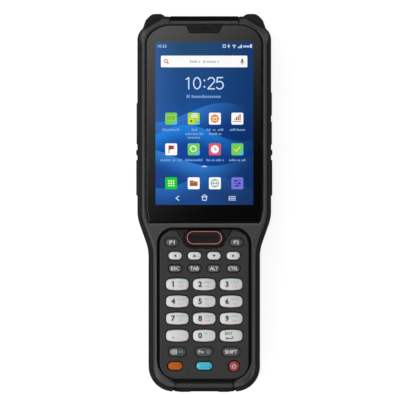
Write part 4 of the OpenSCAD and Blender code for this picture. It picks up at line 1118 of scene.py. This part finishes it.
side_key("volume_key", "volume_rocker", 22.5, 5, 42.6, 36.3, left_side, "side", "side_key_rubber", (-7.6, -6.6, -0.5, 0.5, 6.6, 7.6))
side_key("side_key_top", "side_key_upper", 12.9, 5, 53.1, 36.25, right_side, "side", "side_key_rubber", (-1, 0, 1))
side_key("side_key_low", "side_key_lower", 12.9, 5, 37.5, 36.25, right_side, "side", "side_key_rubber", (0,))
side_key("trigger_left", "scan_trigger_left", 19.5, 7, 13.6, 36.45, left_side, "trigger", "trigger_red", (-4.5, -3, -1.5, 0, 1.5, 3, 4.5))
side_key("trigger_right", "scan_trigger_right", 19.5, 7, 13.6, 36.45, right_side, "side", "side_key_rubber", (-4.5, -3, -1.5, 0, 1.5, 3, 4.5))

# ---------------------------------------------------------------- port flap
def profile_bar(name, points, half, b=0.2):
    """A bar with that outline in the side view (y, z), its two ends rounded."""
    ends = [(0.9 * b, half), (0.35 * b, half - 0.1 * b), (0.1 * b, half - 0.4 * b), (0, half - b)]
    return solid(name, [(y, z, 0.03) for y, z in points], [(d, -x) for d, x in ends] + [(d, x) for d, x in reversed(ends)], 1, right_side)


arc = [(PIN_Y + 2.2 * math.cos(math.radians(a)), PIN_Z + 2.2 * math.sin(math.radians(a))) for a in range(-110, 113, 6)]
barrel = profile_bar("port_flap_barrel", arc + [(-98.64, 26.3), (-98.64, 22.4)], 15.4, 0.35)
minus(barrel, bar("bore", 0.8, PIN_Y, PIN_Z, -16, 16, right_side))
piece(barrel, "port_flap", M["hinge"], "flap_rubber", "port_flap")
plate = [(-100.1, 4.7), (-98.7, 4.7), (-98.66, 22.2), (-98.66, 26.1), (-98.72, 26.2), (-98.84, 25.95), (-99.98, 23.1), (-100.5, 21.8), (-100.8, 20.6), (-100.9, 19.6), (-100.9, 6.4), (-100.7, 5.3)]
wings = [(-100.1, 4.9), (-98.7, 4.9), (-98.7, 21.4), (-100.35, 21.4), (-100.75, 20.2), (-100.85, 19.4), (-100.85, 6.4), (-100.65, 5.4)]
flap = profile_bar("port_flap_cover", plate, 15.4, 0.5)
plus(flap, profile_bar("wings", wings, 15.87, 0.3),
     *[solid("lip", rect(6.2, 4.0, 1.2, s * 10.6, 9.0), [(0, 100.5)] + rounding(0.35, 0, 101.38, 4) + [(0.5, 101.38)], 5, bottom_end) for s in (-1, 1)],
     solid("plug", stadium(24.5, 5.4, 0, 10.5), [(0, -98.8), (0, -98.5), (0.15, -98.36), (0.4, -98.34)], 8, lambda u, v, w: (-u, w, v)))
minus(flap, solid("field", rect(13.6, 6.2, 1.0, 0, 16.8), [(0, 100.65), (-0.08, 100.8), (-0.2, 101.2)], 5, bottom_end))
piece(flap, "port_flap", M["flap"], "flap_rubber")
# a black strip across the notch below the keypad panel: painted shade standing in for the deep shadow between panel and
# hinge barrel
hinge_notch_painted_shade_strip = solid("hinge_notch_painted_shade", both([(16.3, -95.7, 0.3), (17.9, -94.4, 0.3)]), [(0.05, 25.2), (0.05, 25.5), (0.15, 25.6), (0.3, 25.6)], 4)
piece(hinge_notch_painted_shade_strip, "terminal", M["black_rubber_and_painted_shade"], "seal_rubber")

# ---------------------------------------------------------------- back: battery cover, latch, camera window
cover = solid("battery_door", rect(43, 102, 3, 0, -39), [(0, -2.4)] + rounding(0.45, 0, 0, 5) + [(0.6, 0)], 10, back)
plus(cover, joined("tabs", *[block("tab", s * 12 - 2.9, s * 12 + 2.9, -91.6, -89, 1.4, 2.4) for s in (-1, 1)]))
minus(cover, solid("latch_pocket", rect(16.4, 12.3, 1.2, 0, 2.95), mouth(0.3, 0, 0, -1.65), 6, back),
      block("tongue_way", -4.3, 4.3, 8, 13, 0.85, 1.65),
      *[solid("grip_groove", stadium(26 - 2.2 * i, 0.9, 0, -78 + 2.6 * i), [(0, -0.35), (-0.1, -0.12), (-0.32, 0.02), (-0.4, 0.5)], 6, back) for i in range(5)])
piece(cover, "terminal", M["rear"], "rear_plastic", "battery_cover")
latch = solid("battery_latch_slider", rect(15.8, 8.2, 1.0, 0, 4.7), [(0, -1.6)] + rounding(0.3, 0, -0.25, 4) + [(0.42, -0.25)], 6, back)
plus(latch, block("tongue", -4, 4, 8.2, 13.9, 0.95, 1.6))
minus(latch, *[solid("latch_groove", stadium(12, 0.75, 0, 2.35 + 1.55 * i), [(0, -0.7), (0, -0.4), (-0.14, -0.2), (-0.2, 0.4)], 5, back) for i in range(4)])
piece(latch, "battery_latch", M["latch"], "latch_red", "battery_latch")
window = solid("camera_window_plate", stadium(22, 11.5, -4, 74), [(0, -1.4)] + rounding(0.25, 0, -0.4, 4) + [(0.4, -0.4)], 12, back)
piece(window, "terminal", M["frame_gloss"], "window_acrylic", "camera_window")
loops = [[(-x, y, -h) for x, y in ring(circle(4.1, 0, 74), d, 8)] for d, h in ((0, -0.5), (0, -0.25), (0.12, -0.15), (0.5, -0.15), (0.62, -0.25), (0.62, -0.5))]
camera_ring = mesh_object("camera_ring", [p for r in loops for p in r], tube_faces(len(loops), len(loops[0]), wrap=True))
piece(camera_ring, "terminal", M["steel"], "window_acrylic", weighted=False)
lens = solid("camera_lens", circle(3.45, 0, 74), [(0, -0.5), (0, -0.38), (0.4, -0.33), (1.2, -0.28), (2.2, -0.25), (3.2, -0.24)], 8, back)
piece(lens, "terminal", M["lens"], "window_acrylic", weighted=False)
flash = solid("flash_lens", circle(1.7, -11, 74), [(0, -0.5), (0, -0.36), (0.15, -0.3), (0.3, -0.3), (0.42, -0.36), (0.7, -0.36), (0.8, -0.3), (1.6, -0.28)], 8, back)
piece(flash, "terminal", M["flash"], "window_acrylic", weighted=False)

# ---------------------------------------------------------------- CAD nodes that stay, with finishes of their own
stays = {"housing_gasket": "black_rubber_and_painted_shade", "housing_screws": "steel", "display_module": "display", "keypad_mat": "mat", "keypad_pcb": "board",
         "main_pcb": "board", "scan_engine": "module_plastic", "camera_module": "module_plastic", "loudspeaker": "module", "battery_pack": "battery",
         "accessory_inserts": "brass", "bottom_connector": "contact", "flap_pin": "pin"}
for name, mat in stays.items():
    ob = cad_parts[name]
    if not ob.material_slots:
        ob.data.materials.append(M[mat])
    for s in ob.material_slots:
        s.material = M[mat]
    w = ob.modifiers.new("weld", "WELD")
    w.merge_threshold = 0.000003
    b = ob.modifiers.new("edges", "BEVEL")
    b.width, b.segments, b.limit_method, b.angle_limit = 0.00012, 2, "ANGLE", math.radians(40)
    wn = ob.modifiers.new("flat faces stay flat", "WEIGHTED_NORMAL")
    wn.keep_sharp = True

# ---------------------------------------------------------------- floor, light and camera
floor = mesh_object("floor", [(-6000, -6000, 0), (6000, -6000, 0), (6000, 6000, 0), (-6000, 6000, 0)], [(0, 1, 2, 3)])
pale = material("studio_floor", (0.32, 0.32, 0.32), 0.9, mottle=0.01, mottle_scale=3, rough_var=0.02, spec=0.0, glow=(1, 1, 1), glow_strength=0.0)
n, l = nodes_of(pale)
seen = n.new("ShaderNodeLightPath")
lift = n.new("ShaderNodeMath")
lift.operation, lift.inputs[1].default_value = "MULTIPLY", 0.8
l.new(seen.outputs["Is Camera Ray"], lift.inputs[0])
l.new(lift.outputs[0], n["Principled BSDF"].inputs["Emission Strength"])
floor.data.materials.append(pale)

world = bpy.data.worlds.new("studio")
scene.world = world
world.use_nodes = True
n, l = world.node_tree.nodes, world.node_tree.links


tree = world.node_tree
coord = n.new("ShaderNodeTexCoord")
parts_of = n.new("ShaderNodeSeparateXYZ")
l.new(coord.outputs["Generated"], parts_of.inputs[0])
east, north, up = (parts_of.outputs[k] for k in "XYZ")
west = calc(tree, "MULTIPLY", east, -1.0)
# a ring of soft light round the zenith, stronger on the left; a strip low on the right;
# over the zenith itself a panel that fades from the upper left to nothing at the lower right
around = calc(tree, "MULTIPLY", remap(tree, up, 0.60, 0.76), remap(tree, up, 0.985, 0.955))
left = calc(tree, "MULTIPLY", remap(tree, west, 0.34, 0.50), remap(tree, west, 0.92, 0.80))
left = calc(tree, "MULTIPLY", left, remap(tree, calc(tree, "ABSOLUTE", north), 0.75, 0.50))
right = calc(tree, "MULTIPLY", remap(tree, east, 0.66, 0.78), remap(tree, east, 0.995, 0.92))
right = calc(tree, "MULTIPLY", right, remap(tree, calc(tree, "ABSOLUTE", north), 0.55, 0.35))
diagonal = calc(tree, "MULTIPLY", calc(tree, "SUBTRACT", north, east), 0.7071)
panel_light = calc(tree, "MULTIPLY", calc(tree, "POWER", remap(tree, diagonal, -0.0012, 0.0262, kind="LINEAR"), 1.5), 2.9)
light = calc(tree, "MULTIPLY", around, 0.36)
light = calc(tree, "ADD", light, calc(tree, "MULTIPLY", left, 2.45))
light = calc(tree, "ADD", light, calc(tree, "MULTIPLY", right, 1.3))
light = calc(tree, "ADD", light, calc(tree, "MULTIPLY", remap(tree, up, 0.955, 0.985), panel_light))
# a low ring that shows the sides, which the view from above hardly meets
low_ring = calc(tree, "MULTIPLY", remap(tree, up, 0.28, 0.16), remap(tree, up, 0.075, 0.13))
light = calc(tree, "ADD", light, calc(tree, "MULTIPLY", low_ring, 2.6))
light = calc(tree, "ADD", light, 0.03)
# the sky behind the object is as white as the floor
seen = n.new("ShaderNodeLightPath")
others = calc(tree, "SUBTRACT", 1.0, seen.outputs["Is Camera Ray"])
l.new(calc(tree, "ADD", calc(tree, "MULTIPLY", light, others), seen.outputs["Is Camera Ray"]), n["Background"].inputs["Strength"])
n["Background"].inputs["Color"].default_value = (1, 1, 1, 1)


def softbox(name, place, target, width, height, power, turn=0.0):
    data = bpy.data.lights.new(name, "AREA")
    data.shape, data.size, data.size_y, data.energy = "RECTANGLE", width, height, power
    ob = bpy.data.objects.new(name, data)
    scene.collection.objects.link(ob)
    ob.location = place
    aim = (Vector(target) - Vector(place)).to_track_quat("-Z", "Y")
    ob.rotation_mode = "QUATERNION"
    ob.rotation_quaternion = aim @ Quaternion((0, 0, 1), math.radians(turn))
    ob.visible_camera = False
    return ob


softbox("head", (0, 1.5, 1.6), (0, 0, 0.02), 2.0, 0.6, 10)
softbox("foot", (0, -1.7, 1.1), (0, 0, 0.02), 2.0, 0.8, 10)
softbox("keypad", (-0.062, -0.055, 0.13), (-0.005, -0.055, 0.027), 0.16, 0.03, 0.012)

camera_data = bpy.data.cameras.new("camera")
camera = bpy.data.objects.new("camera", camera_data)
scene.collection.objects.link(camera)
scene.camera = camera
DISTANCE = 4.0
camera_data.sensor_width = 36.0
camera_data.sensor_fit = "HORIZONTAL"
camera_data.lens = 36.0 * (DISTANCE - 0.018) / 0.2144
camera_data.clip_start, camera_data.clip_end = 0.05, 50
camera.location = (-0.00228, 0.0017, DISTANCE)
scene.view_settings.view_transform = "Standard"
scene.view_settings.look = "None"
